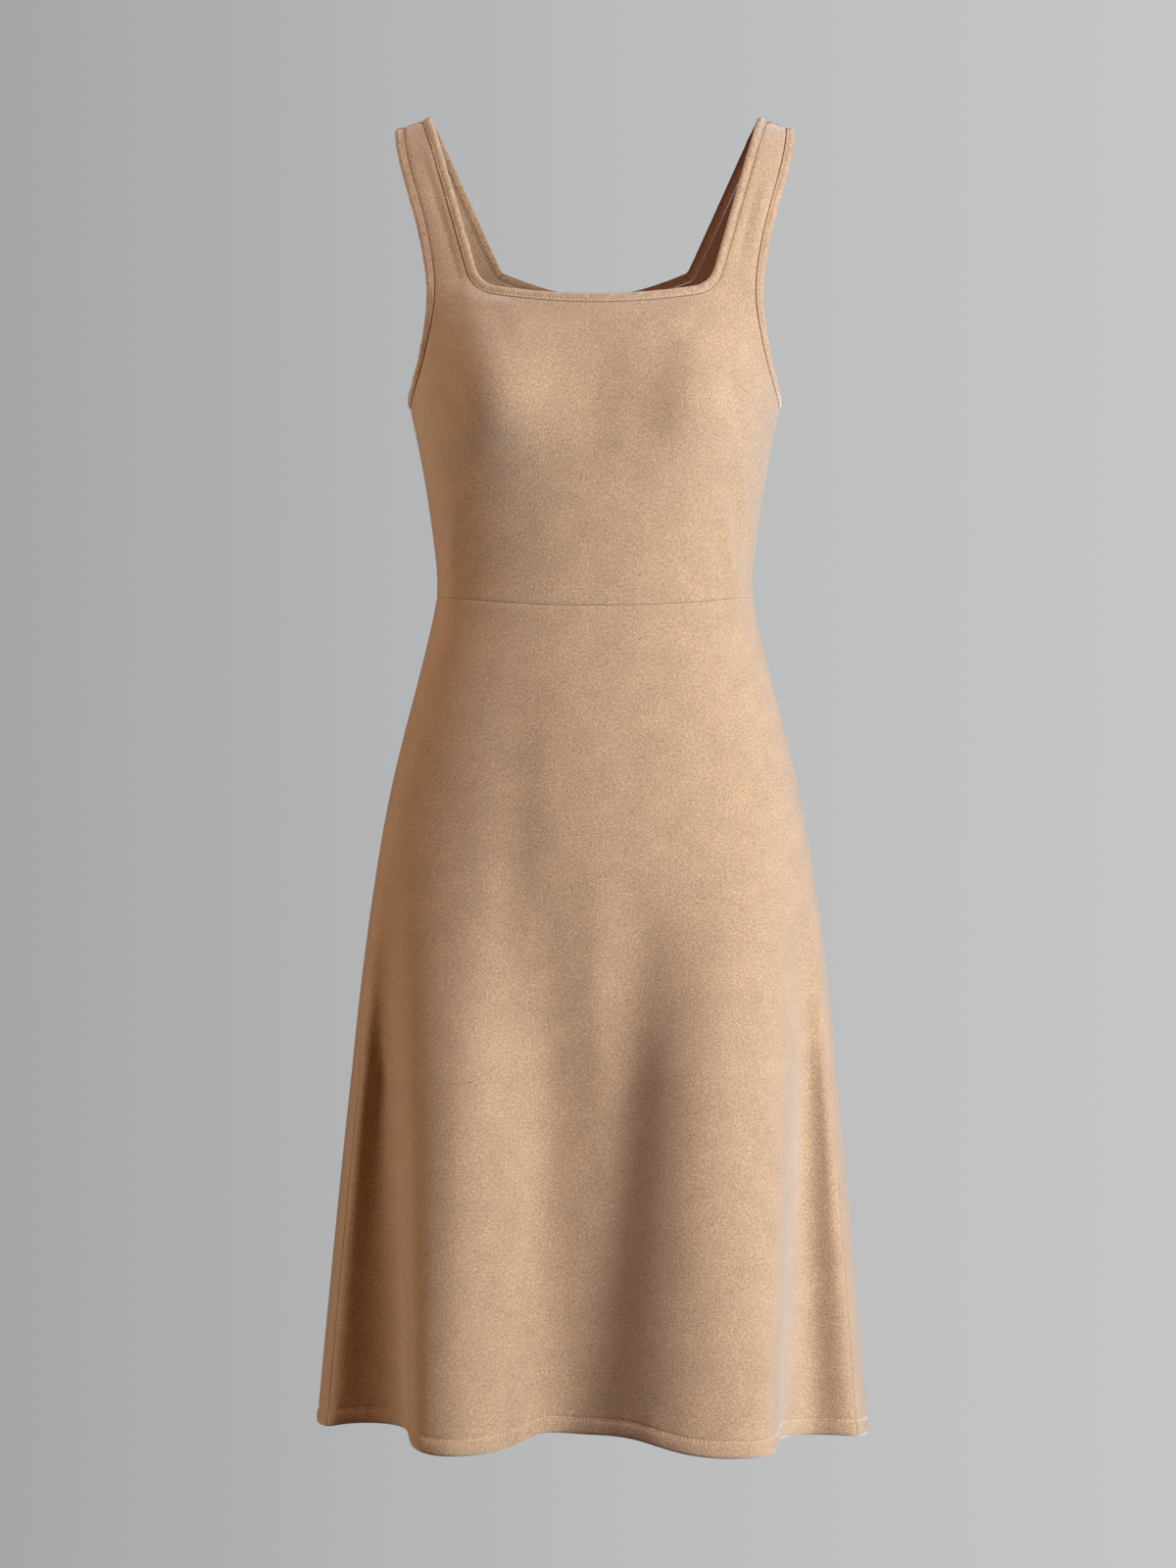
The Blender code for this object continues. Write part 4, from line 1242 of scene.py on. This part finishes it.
def wool_material(name, look, nap_turn, sheen):
    """Brushed wool. Short slanting fibres of four tones lie over each other, tufts and
    single hairs tint them, cloudy patches change the tone over a few centimetres, and the
    nap glows at its edges."""
    sheet = NodeSheet(name)
    place = sheet.add("ShaderNodeUVMap", "place on the cloth", uv_map="cloth").outputs["UV"]
    nap = sheet.add("ShaderNodeMapping", "lay of the nap", vector_type="TEXTURE")
    nap.inputs["Rotation"].default_value = (0.0, 0.0, nap_turn)
    nap.inputs["Scale"].default_value = (look.nap_length, look.nap_width, 1.0)
    sheet.link(place, nap.inputs["Vector"])
    laid = nap.outputs["Vector"]
    fibres = noise(sheet, laid, "fibres", scale=1.0, detail=3.0, roughness=0.62, distortion=0.9)
    tufts = noise(sheet, place, "tufts", scale=600.0, distortion=0.3)
    tints = noise(sheet, place, "tints", scale=760.0, roughness=0.6)
    clouds = noise(sheet, place, "patches", scale=38.0, detail=3.0, roughness=0.55, distortion=0.4)
    fibre_stops = [(at, shade(look.wool, 1 + part * look.contrast)) for at, part in FIBRE_TONES]
    tuft_stops = ((0.32, shade(WHITE, 1 - 0.8 * look.contrast)), (0.62, WHITE))
    patch_stops = ((0.30, shade(WHITE, 1 - look.mottle)), (0.70, WHITE))
    fibre = ramp(sheet, fibres, "fibre tones", fibre_stops)
    tint = ramp(sheet, tints, "warm and cool hairs", HAIR_TINTS)
    tuft = ramp(sheet, tufts, "tuft tones", tuft_stops)
    patch = ramp(sheet, clouds, "patch tones", patch_stops)
    colour = mixed(sheet, "tinted fibres", "MULTIPLY", 0.8, fibre, tint)
    colour = mixed(sheet, "tufted fibres", "MULTIPLY", 1.0, colour, tuft)
    colour = mixed(sheet, "patched wool", "MULTIPLY", 1.0, colour, patch)
    # inner faces are darkened by painted shade, read from their point attribute
    sheet.link(with_painted_inner_shade(sheet, look, colour), sheet.shader.inputs["Base Color"])
    height = sheet.add("ShaderNodeMath", "nap height", operation="ADD")
    sheet.link(fibres, height.inputs[0])
    sheet.link(tufts, height.inputs[1])
    bump = sheet.add("ShaderNodeBump", "raised nap")
    bump.inputs["Strength"].default_value = look.relief
    bump.inputs["Distance"].default_value = NAP_HEIGHT
    sheet.link(height.outputs["Value"], bump.inputs["Height"])
    sheet.link(bump.outputs["Normal"], sheet.shader.inputs["Normal"])
    shader = sheet.shader.inputs
    shader["Roughness"].default_value = 0.92
    shader["Specular IOR Level"].default_value = 0.15
    shader["Sheen Weight"].default_value = sheen
    shader["Sheen Roughness"].default_value = look.sheen_roughness
    shader["Sheen Tint"].default_value = (*look.sheen_tint, 1.0)
    return sheet.material


def thread_material(name, look):
    """Matt sewing thread with a faint twist across it."""
    sheet = NodeSheet(name)
    place = sheet.add("ShaderNodeTexCoord", "place").outputs["Object"]
    twist = noise(sheet, place, "twist", scale=1500.0, detail=1.0)
    colour = tuple(look.thread_colour)
    stops = ((0.35, shade(colour, 0.8)), (0.65, shade(colour, 1.1)))
    tone = ramp(sheet, twist, "thread tones", stops)
    # stitches on the inside are darkened by painted shade, as the wool is
    sheet.link(with_painted_inner_shade(sheet, look, tone), sheet.shader.inputs["Base Color"])
    sheet.shader.inputs["Roughness"].default_value = 0.8
    sheet.shader.inputs["Sheen Weight"].default_value = 0.3
    return sheet.material


def shared_material(name, make, *values):
    """The material of that name, made the first time that it is asked for."""
    return bpy.data.materials.get(name) or make(name, *values)


def camel_wool(look):
    """The panels' wool."""
    return shared_material("camel_wool", wool_material, look, NAP_TURN, look.sheen)


def wrong_side_wool(look):
    """The same wool seen from inside the dress, where its nap lies flat and glows less."""
    return shared_material("wrong_side_wool", wool_material, look, NAP_TURN, look.inner_sheen)


def band_wool(look):
    """The same wool cut on the bias, for the bands."""
    return shared_material("band_wool", wool_material, look, BAND_NAP_TURN, look.sheen)


def sewing_thread(look):
    """The thread of every stitch that shows."""
    return shared_material("thread", thread_material, look)


def matt(sheet, label, colour):
    """A plain matt shader."""
    node = sheet.add("ShaderNodeBsdfDiffuse", label)
    node.inputs["Color"].default_value = (*colour, 1.0)
    return node.outputs["BSDF"]


def seen_by_camera(sheet, other, shown):
    """A shader that the camera sees as the one shown, and the dress as the other."""
    rays = sheet.add("ShaderNodeLightPath", "rays")
    seen = sheet.add("ShaderNodeMixShader", "seen by the camera")
    sheet.link(rays.outputs["Is Camera Ray"], seen.inputs["Fac"])
    sheet.link(other, seen.inputs[1])
    sheet.link(shown, seen.inputs[2])
    return seen.outputs["Shader"]


def floor_material(colour):
    """Plain matt floor, which throws little light back up at the dress. The camera sees
    most of its tone as flat colour, and the dress's shadow in the rest."""
    sheet = NodeSheet("studio_floor")
    flat = sheet.add("ShaderNodeEmission", "flat colour")
    flat.inputs["Color"].default_value = (*colour, 1.0)
    lit = matt(sheet, "lit and shaded floor", shade(colour, FLOOR_SHADOW))
    pale = sheet.add("ShaderNodeAddShader", "pale floor")
    sheet.link(flat.outputs["Emission"], pale.inputs[0])
    sheet.link(lit, pale.inputs[1])
    dim = matt(sheet, "floor as the dress sees it", shade(colour, STAGE_BOUNCE))
    floor = seen_by_camera(sheet, dim, pale.outputs["Shader"])
    sheet.link(floor, sheet.output.inputs["Surface"])
    return sheet.material


def backdrop_material(left, right):
    """Plain grey backdrop. Seen from its front it glows with a flat colour, painted light that
    runs from grey at its left to a paler grey at its right, and it isn't seen from behind."""
    sheet = NodeSheet("studio_backdrop")
    place = sheet.add("ShaderNodeTexCoord", "place").outputs["Object"]
    parts = sheet.add("ShaderNodeSeparateXYZ", "place by axis")
    sheet.link(place, parts.inputs["Vector"])
    across = sheet.add("ShaderNodeMapRange", "way across")
    across.inputs["From Min"].default_value, across.inputs["From Max"].default_value = BACKDROP_SPAN
    sheet.link(parts.outputs["X"], across.inputs["Value"])
    middle = shade([(a + b) / 2 for a, b in zip(left, right)], BACKDROP_MIDDLE)
    stops = ((0.0, left), (0.5, middle), (1.0, right))
    tone = ramp(sheet, across.outputs["Result"], "painted backdrop light", stops)
    glow = sheet.add("ShaderNodeEmission", "flat colour")
    sheet.link(tone, glow.inputs["Color"])
    paper = matt(sheet, "matt paper as the dress sees it", shade(left, STAGE_BOUNCE))
    seen = seen_by_camera(sheet, paper, glow.outputs["Emission"])
    face = sheet.add("ShaderNodeNewGeometry", "face")
    clear = sheet.add("ShaderNodeBsdfTransparent", "clear from behind")
    choice = sheet.add("ShaderNodeMixShader", "front or behind")
    sheet.link(face.outputs["Backfacing"], choice.inputs["Fac"])
    sheet.link(seen, choice.inputs[1])
    sheet.link(clear.outputs["BSDF"], choice.inputs[2])
    sheet.link(choice.outputs["Shader"], sheet.output.inputs["Surface"])
    return sheet.material


# ---------------------------------------------------------------- properties


class DressSizes(bpy.types.PropertyGroup):
    """Sizes of the cloth and of the sewing."""

    wall: FloatProperty(name="Cloth", description="Thickness of the wool", default=0.0020, unit="LENGTH")
    seam_gap: FloatProperty(
        name="Seam gap", description="Gap between two sewn edges", default=0.0003, unit="LENGTH"
    )
    edge_radius: FloatProperty(
        name="Edge round", description="Radius of a sewn edge", default=0.0005, unit="LENGTH"
    )
    ditch: FloatProperty(
        name="Seam ditch", description="How far the cloth sinks at a seam", default=0.0005, unit="LENGTH"
    )
    ditch_width: FloatProperty(
        name="Ditch width", description="Half width of a seam's ditch", default=0.0018, unit="LENGTH"
    )
    band_width: FloatProperty(
        name="Band width", description="Width of the rolled edge bands", default=0.0075, unit="LENGTH"
    )
    band_thick: FloatProperty(
        name="Band thickness", description="Thickness of the rolled bands", default=0.0044, unit="LENGTH"
    )
    hem_depth: FloatProperty(
        name="Hem depth", description="From the hem's edge to its stitches", default=0.0125, unit="LENGTH"
    )
    hem_gap: FloatProperty(
        name="Hem gap", description="Gap between the hem's two layers", default=0.0003, unit="LENGTH"
    )
    hem_swell: FloatProperty(
        name="Hem swell", description="How far the hem stands out", default=0.0007, unit="LENGTH"
    )
    hem_ditch: FloatProperty(
        name="Hem ditch", description="How far the hem's stitches sink", default=0.0006, unit="LENGTH"
    )
    stitch_length: FloatProperty(
        name="Stitch", description="Length of one stitch", default=0.0026, unit="LENGTH"
    )
    stitch_gap: FloatProperty(
        name="Stitch gap", description="Gap between two stitches", default=0.0006, unit="LENGTH"
    )
    thread: FloatProperty(
        name="Thread", description="Radius of the sewing thread", default=0.00034, unit="LENGTH"
    )


class WoolLook(bpy.types.PropertyGroup):
    """Colours and finish of the wool."""

    wool: FloatVectorProperty(
        name="Wool", description="Mean colour of the wool", subtype="COLOR", default=(0.494, 0.338, 0.208)
    )
    thread_colour: FloatVectorProperty(
        name="Thread", description="Colour of the thread", subtype="COLOR", default=(0.70, 0.50, 0.33)
    )
    # Colour of the shade painted on inner faces, where the inside lies in shade
    painted_shade_colour: FloatVectorProperty(
        name="Painted inner shade", description="Colour of the shade painted on inner faces", subtype="COLOR", default=(0.26, 0.118, 0.052)
    )
    contrast: FloatProperty(
        name="Fibre contrast", description="Difference between the fibres' tones", default=0.39
    )
    mottle: FloatProperty(name="Mottling", description="Depth of the cloudy patches", default=0.14)
    nap_length: FloatProperty(
        name="Nap length", description="Length of the fibres that show", default=0.0015, unit="LENGTH"
    )
    nap_width: FloatProperty(
        name="Nap width", description="Width of the fibres that show", default=0.0009, unit="LENGTH"
    )
    relief: FloatProperty(name="Relief", description="Strength of the raised nap", default=0.5)
    sheen: FloatProperty(name="Sheen", description="Glow of the nap", default=1.0)
    inner_sheen: FloatProperty(name="Inner sheen", description="Glow of the shade colour painted inside", default=0.15)
    sheen_roughness: FloatProperty(name="Sheen spread", description="Width of the glow", default=0.56)
    sheen_tint: FloatVectorProperty(
        name="Sheen tint", description="Colour of the glow", subtype="COLOR", default=(1.0, 1.0, 1.0)
    )


class StageLook(bpy.types.PropertyGroup):
    """Camera, lamps and backdrop."""

    distance: FloatProperty(name="Camera distance", description="In front", default=3.3, unit="LENGTH")
    height: FloatProperty(name="Camera height", description="Height", default=-0.5474, unit="LENGTH")
    aside: FloatProperty(name="Camera aside", description="Along X", default=-0.0056, unit="LENGTH")
    view_height: FloatProperty(
        name="View height", description="Height of the view at the dress", default=1.288, unit="LENGTH"
    )
    key: FloatProperty(name="Key", description="Power of the main softbox in watts", default=110.0)
    key_turn: FloatProperty(
        name="Key turn", description="Right of the front", default=math.radians(50), subtype="ANGLE"
    )
    rim: FloatProperty(name="Rim", description="Power of the lamp behind in watts", default=31.0)
    behind: FloatProperty(name="Behind", description="Power of the back lamp in watts", default=8.0)
    upper: FloatProperty(
        name="Upper left", description="Power of the small lamp on the strap in watts", default=0.2
    )
    side: FloatProperty(name="Side", description="Power of the pale side lamp in watts", default=16.0)
    fill: FloatProperty(name="Fill", description="Brightness of the surroundings", default=0.26)
    backdrop_left: FloatVectorProperty(
        name="Backdrop left", description="Colour there", subtype="COLOR", default=(0.375, 0.38, 0.385)
    )
    backdrop_right: FloatVectorProperty(
        name="Backdrop right", description="Colour there", subtype="COLOR", default=(0.565, 0.567, 0.570)
    )
    floor_colour: FloatVectorProperty(
        name="Floor", description="Colour of the floor", subtype="COLOR", default=(0.50, 0.50, 0.505)
    )


# ---------------------------------------------------------------- operators


def band_paths(sizes):
    """The edge, normals, closure and open side of each band, by name."""
    _, _, front, front_normal = bodice_base("front", sizes)
    _, _, back, back_normal = bodice_base("back", sizes)
    paths = {}
    for side, points, normals in (("front", front, front_normal), ("back", back, back_normal)):
        edge = neck_path(points)
        paths["neck_band_" + side] = (edge, neck_path(normals), False, edge.mean(axis=0))
    for side, column in (("left", -1), ("right", 0)):
        edge = armhole_path(front, back, column)
        normal = unit(armhole_path(front_normal, back_normal, column))
        paths["armhole_band_" + side] = (edge, normal, True, edge.mean(axis=0))
    return paths


class DRESS_OT_bodice(bpy.types.Operator):
    """Adds the front and back panels of the bodice"""

    bl_idname = "dress.bodice"
    bl_label = "Bodice"

    def execute(self, context):
        wool = camel_wool(context.scene.dress_wool)
        for side in ("front", "back"):
            outer, inner, uv = bodice_faces(side, context.scene.dress_sizes)
            name = "bodice_" + side
            piece = wall_object(name + "_cloth", outer, inner, uv, wool, bodice_cells())
            place_on_frame(piece, "cloth", name)
        return {"FINISHED"}


class DRESS_OT_skirt(bpy.types.Operator):
    """Adds the front and back panels of the skirt, with the turned hem"""

    bl_idname = "dress.skirt"
    bl_label = "Skirt"

    def execute(self, context):
        sizes = context.scene.dress_sizes
        look = context.scene.dress_wool
        rows = []
        for side in ("front", "back"):
            outer, inner, uv, stitches = skirt_faces(side, sizes)
            name = "skirt_" + side
            piece = wall_object(name + "_cloth", outer, inner, uv, camel_wool(look))
            place_on_frame(piece, "cloth", name, "hem_" + side)
            rows.append(stitches)
        add_stitches("hem_stitches", rows, sizes, look)
        return {"FINISHED"}


class DRESS_OT_bands(bpy.types.Operator):
    """Adds the rolled bands of the neck and the armholes, with their stitches"""

    bl_idname = "dress.bands"
    bl_label = "Edge bands"

    def execute(self, context):
        sizes = context.scene.dress_sizes
        look = context.scene.dress_wool
        wool = band_wool(look)
        first = SHOULDER_ROW - CORNER_ROW - 1
        neck_corners = (first, first + 2 * CORNER_COLUMN)
        inner_rows = []
        outer_rows = []
        for name, path in band_paths(sizes).items():
            is_loop = path[2]
            add_band(name, *path, () if is_loop else neck_corners, sizes, wool)
            outer_rows.append(band_stitches(*path, sizes, STITCH_HEIGHT_OUTSIDE))
            inner_rows.append(band_stitches(*path, sizes, STITCH_HEIGHT_INSIDE))
        add_stitches("band_stitches_outside", outer_rows, sizes, look)
        add_stitches("band_stitches_inside", inner_rows, sizes, look, painted_shade=True)
        return {"FINISHED"}


# Each panel's flat width and length, what it hangs from and what is sewn on it
FLAT_CUTS = {
    "bodice_front_cloth": (
        (0.44, 0.42),
        ["shoulders"],
        [
            "neck_band_front_cloth",
            "armhole_band_left_cloth",
            "armhole_band_right_cloth",
            "band_stitches_outside",
            "band_stitches_inside",
        ],
    ),
    "bodice_back_cloth": ((0.44, 0.42), ["shoulders"], ["neck_band_back_cloth"]),
    "skirt_front_cloth": ((0.76, 0.71), ["bodice_front_cloth"], ["hem_stitches"]),
    "skirt_back_cloth": ((0.76, 0.71), ["bodice_back_cloth"], []),
}


class DRESS_OT_cut(bpy.types.Operator):
    """Measures the cloth area of each panel in the flat cut table"""

    bl_idname = "dress.cut"
    bl_label = "Flat cut"

    def execute(self, context):
        piece = bpy.data.objects
        for name, (flat, rests_on, sewn_on) in FLAT_CUTS.items():
            panel = piece[name]
            cut_area(panel)
        return {"FINISHED"}


def stage_object(name, points, faces, material):
    """A plain piece of the stage, from its points and faces."""
    mesh = bpy.data.meshes.new(name)
    mesh.from_pydata(points, [], faces)
    mesh.materials.append(material)
    made = bpy.data.objects.new(name, mesh)
    bpy.context.scene.collection.objects.link(made)
    return made


def add_floor(stage):
    """The floor: one cell, from far in front to where the backdrop's cove starts."""
    reach = STAGE_REACH
    back = BACKDROP_PLACE - BACKDROP_COVE
    plan = ((-reach, -reach), (reach, -reach), (reach, back), (-reach, back))
    points = [(x, y, FLOOR_LEVEL) for x, y in plan]
    return stage_object("floor", points, [(0, 1, 2, 3)], floor_material(stage.floor_colour))


def add_backdrop(stage):
    """The backdrop: a quarter round up from the floor, then straight up."""
    angle = np.linspace(0, QUARTER_TURN, COVE_STEPS + 1)
    back = BACKDROP_PLACE - BACKDROP_COVE
    depth = np.concatenate([back + BACKDROP_COVE * np.sin(angle), [BACKDROP_PLACE]])
    cove = FLOOR_LEVEL + BACKDROP_COVE - BACKDROP_COVE * np.cos(angle)
    height = np.concatenate([cove, [BACKDROP_TOP]])
    points = [(x, y, z) for y, z in zip(depth, height) for x in (-STAGE_REACH, STAGE_REACH)]
    faces = [(2 * i, 2 * i + 1, 2 * i + 3, 2 * i + 2) for i in range(len(depth) - 1)]
    paper = backdrop_material(tuple(stage.backdrop_left), tuple(stage.backdrop_right))
    backdrop = stage_object("backdrop", points, faces, paper)
    backdrop.data.shade_smooth()
    return backdrop


def light_surroundings(scene, stage):
    """The world: warm and dim on the dress, and plain grey where the camera sees it."""
    world = bpy.data.worlds.new("studio")
    scene.world = world
    world.use_nodes = True
    nodes = world.node_tree.nodes
    links = world.node_tree.links
    nodes.clear()
    rays = nodes.new("ShaderNodeLightPath")
    fill = nodes.new("ShaderNodeBackground")
    fill.inputs["Color"].default_value = (*FILL_COLOUR, 1.0)
    fill.inputs["Strength"].default_value = stage.fill
    seen = nodes.new("ShaderNodeBackground")
    seen.inputs["Color"].default_value = (*SEEN_COLOUR, 1.0)
    choice = nodes.new("ShaderNodeMixShader")
    output = nodes.new("ShaderNodeOutputWorld")
    links.new(rays.outputs["Is Camera Ray"], choice.inputs["Fac"])
    links.new(fill.outputs["Background"], choice.inputs[1])
    links.new(seen.outputs["Background"], choice.inputs[2])
    links.new(choice.outputs["Shader"], output.inputs["Surface"])


def area_lamp(name, row, power):
    """A rectangular lamp at a row's place, facing its target."""
    lamp = bpy.data.lights.new(name, "AREA")
    lamp.shape = "RECTANGLE"
    lamp.size, lamp.size_y = row.size
    lamp.energy = power
    lamp.color = row.colour
    made = bpy.data.objects.new(name, lamp)
    made.location = row.place
    way = np.array(row.target) - np.array(row.place)
    flat = math.hypot(way[0], way[1])
    made.rotation_euler = (math.atan2(flat, -way[2]), 0.0, math.atan2(way[1], way[0]) - QUARTER_TURN)
    bpy.context.scene.collection.objects.link(made)
    return made


def add_lamps(stage):
    """The softbox, the pale lamp at the side, the two at the back and the small one."""
    key_x = KEY_REACH * math.sin(stage.key_turn)
    key_y = -KEY_REACH * math.cos(stage.key_turn)
    key_lamp = Lamp((key_x, key_y, KEY_HEIGHT), DRESS_MIDDLE, KEY_SIZE, KEY_COLOUR)
    area_lamp("key", key_lamp, stage.key)
    area_lamp("side", SIDE_LAMP, stage.side)
    area_lamp("rim", RIM_LAMP, stage.rim)
    behind = area_lamp("behind", BEHIND_LAMP, stage.behind)
    behind.visible_camera = False
    upper = area_lamp("upper left", UPPER_LAMP, stage.upper)
    upper.data.spread = UPPER_SPREAD


def add_camera(scene, stage):
    """The camera, level and straight in front. Its lens shows the view height."""
    camera = bpy.data.cameras.new("camera")
    camera.sensor_width = 36.0
    camera.lens = camera.sensor_width * stage.distance / stage.view_height
    eye = bpy.data.objects.new("camera", camera)
    eye.location = (stage.aside, -stage.distance, stage.height)
    eye.rotation_euler = (QUARTER_TURN, 0.0, 0.0)
    scene.collection.objects.link(eye)
    scene.camera = eye


class DRESS_OT_stage(bpy.types.Operator):
    """Adds the floor, backdrop, lamps and camera"""

    bl_idname = "dress.stage"
    bl_label = "Stage"

    def execute(self, context):
        scene = context.scene
        stage = scene.dress_stage
        floor = add_floor(stage)
        backdrop = add_backdrop(stage)
        light_surroundings(scene, stage)
        add_lamps(stage)
        add_camera(scene, stage)
        scene.view_settings.view_transform = "Standard"
        return {"FINISHED"}


class DRESS_PT_panel(bpy.types.Panel):
    """Lists the dress's pieces, sizes and colours"""

    bl_idname = "DRESS_PT_panel"
    bl_label = "Pinafore dress"
    bl_space_type = "VIEW_3D"
    bl_region_type = "UI"
    bl_category = "Dress"

    def draw(self, context):
        for operator in PIECE_OPERATORS:
            self.layout.operator(operator.bl_idname)
        for group in (context.scene.dress_sizes, context.scene.dress_wool, context.scene.dress_stage):
            column = self.layout.column()
            for key in group.__annotations__:
                column.prop(group, key)


PIECE_OPERATORS = (DRESS_OT_bodice, DRESS_OT_skirt, DRESS_OT_bands, DRESS_OT_cut, DRESS_OT_stage)
CLASSES = (DressSizes, WoolLook, StageLook, *PIECE_OPERATORS, DRESS_PT_panel)


def register():
    for item in CLASSES:
        bpy.utils.register_class(item)
    bpy.types.Scene.dress_sizes = PointerProperty(type=DressSizes)
    bpy.types.Scene.dress_wool = PointerProperty(type=WoolLook)
    bpy.types.Scene.dress_stage = PointerProperty(type=StageLook)


def unregister():
    del bpy.types.Scene.dress_stage
    del bpy.types.Scene.dress_wool
    del bpy.types.Scene.dress_sizes
    for item in reversed(CLASSES):
        bpy.utils.unregister_class(item)


def main():
    register()
    bpy.ops.dress.bodice()
    bpy.ops.dress.skirt()
    bpy.ops.dress.bands()
    bpy.ops.dress.cut()
    bpy.ops.dress.stage()


if __name__ == "__main__":
    main()
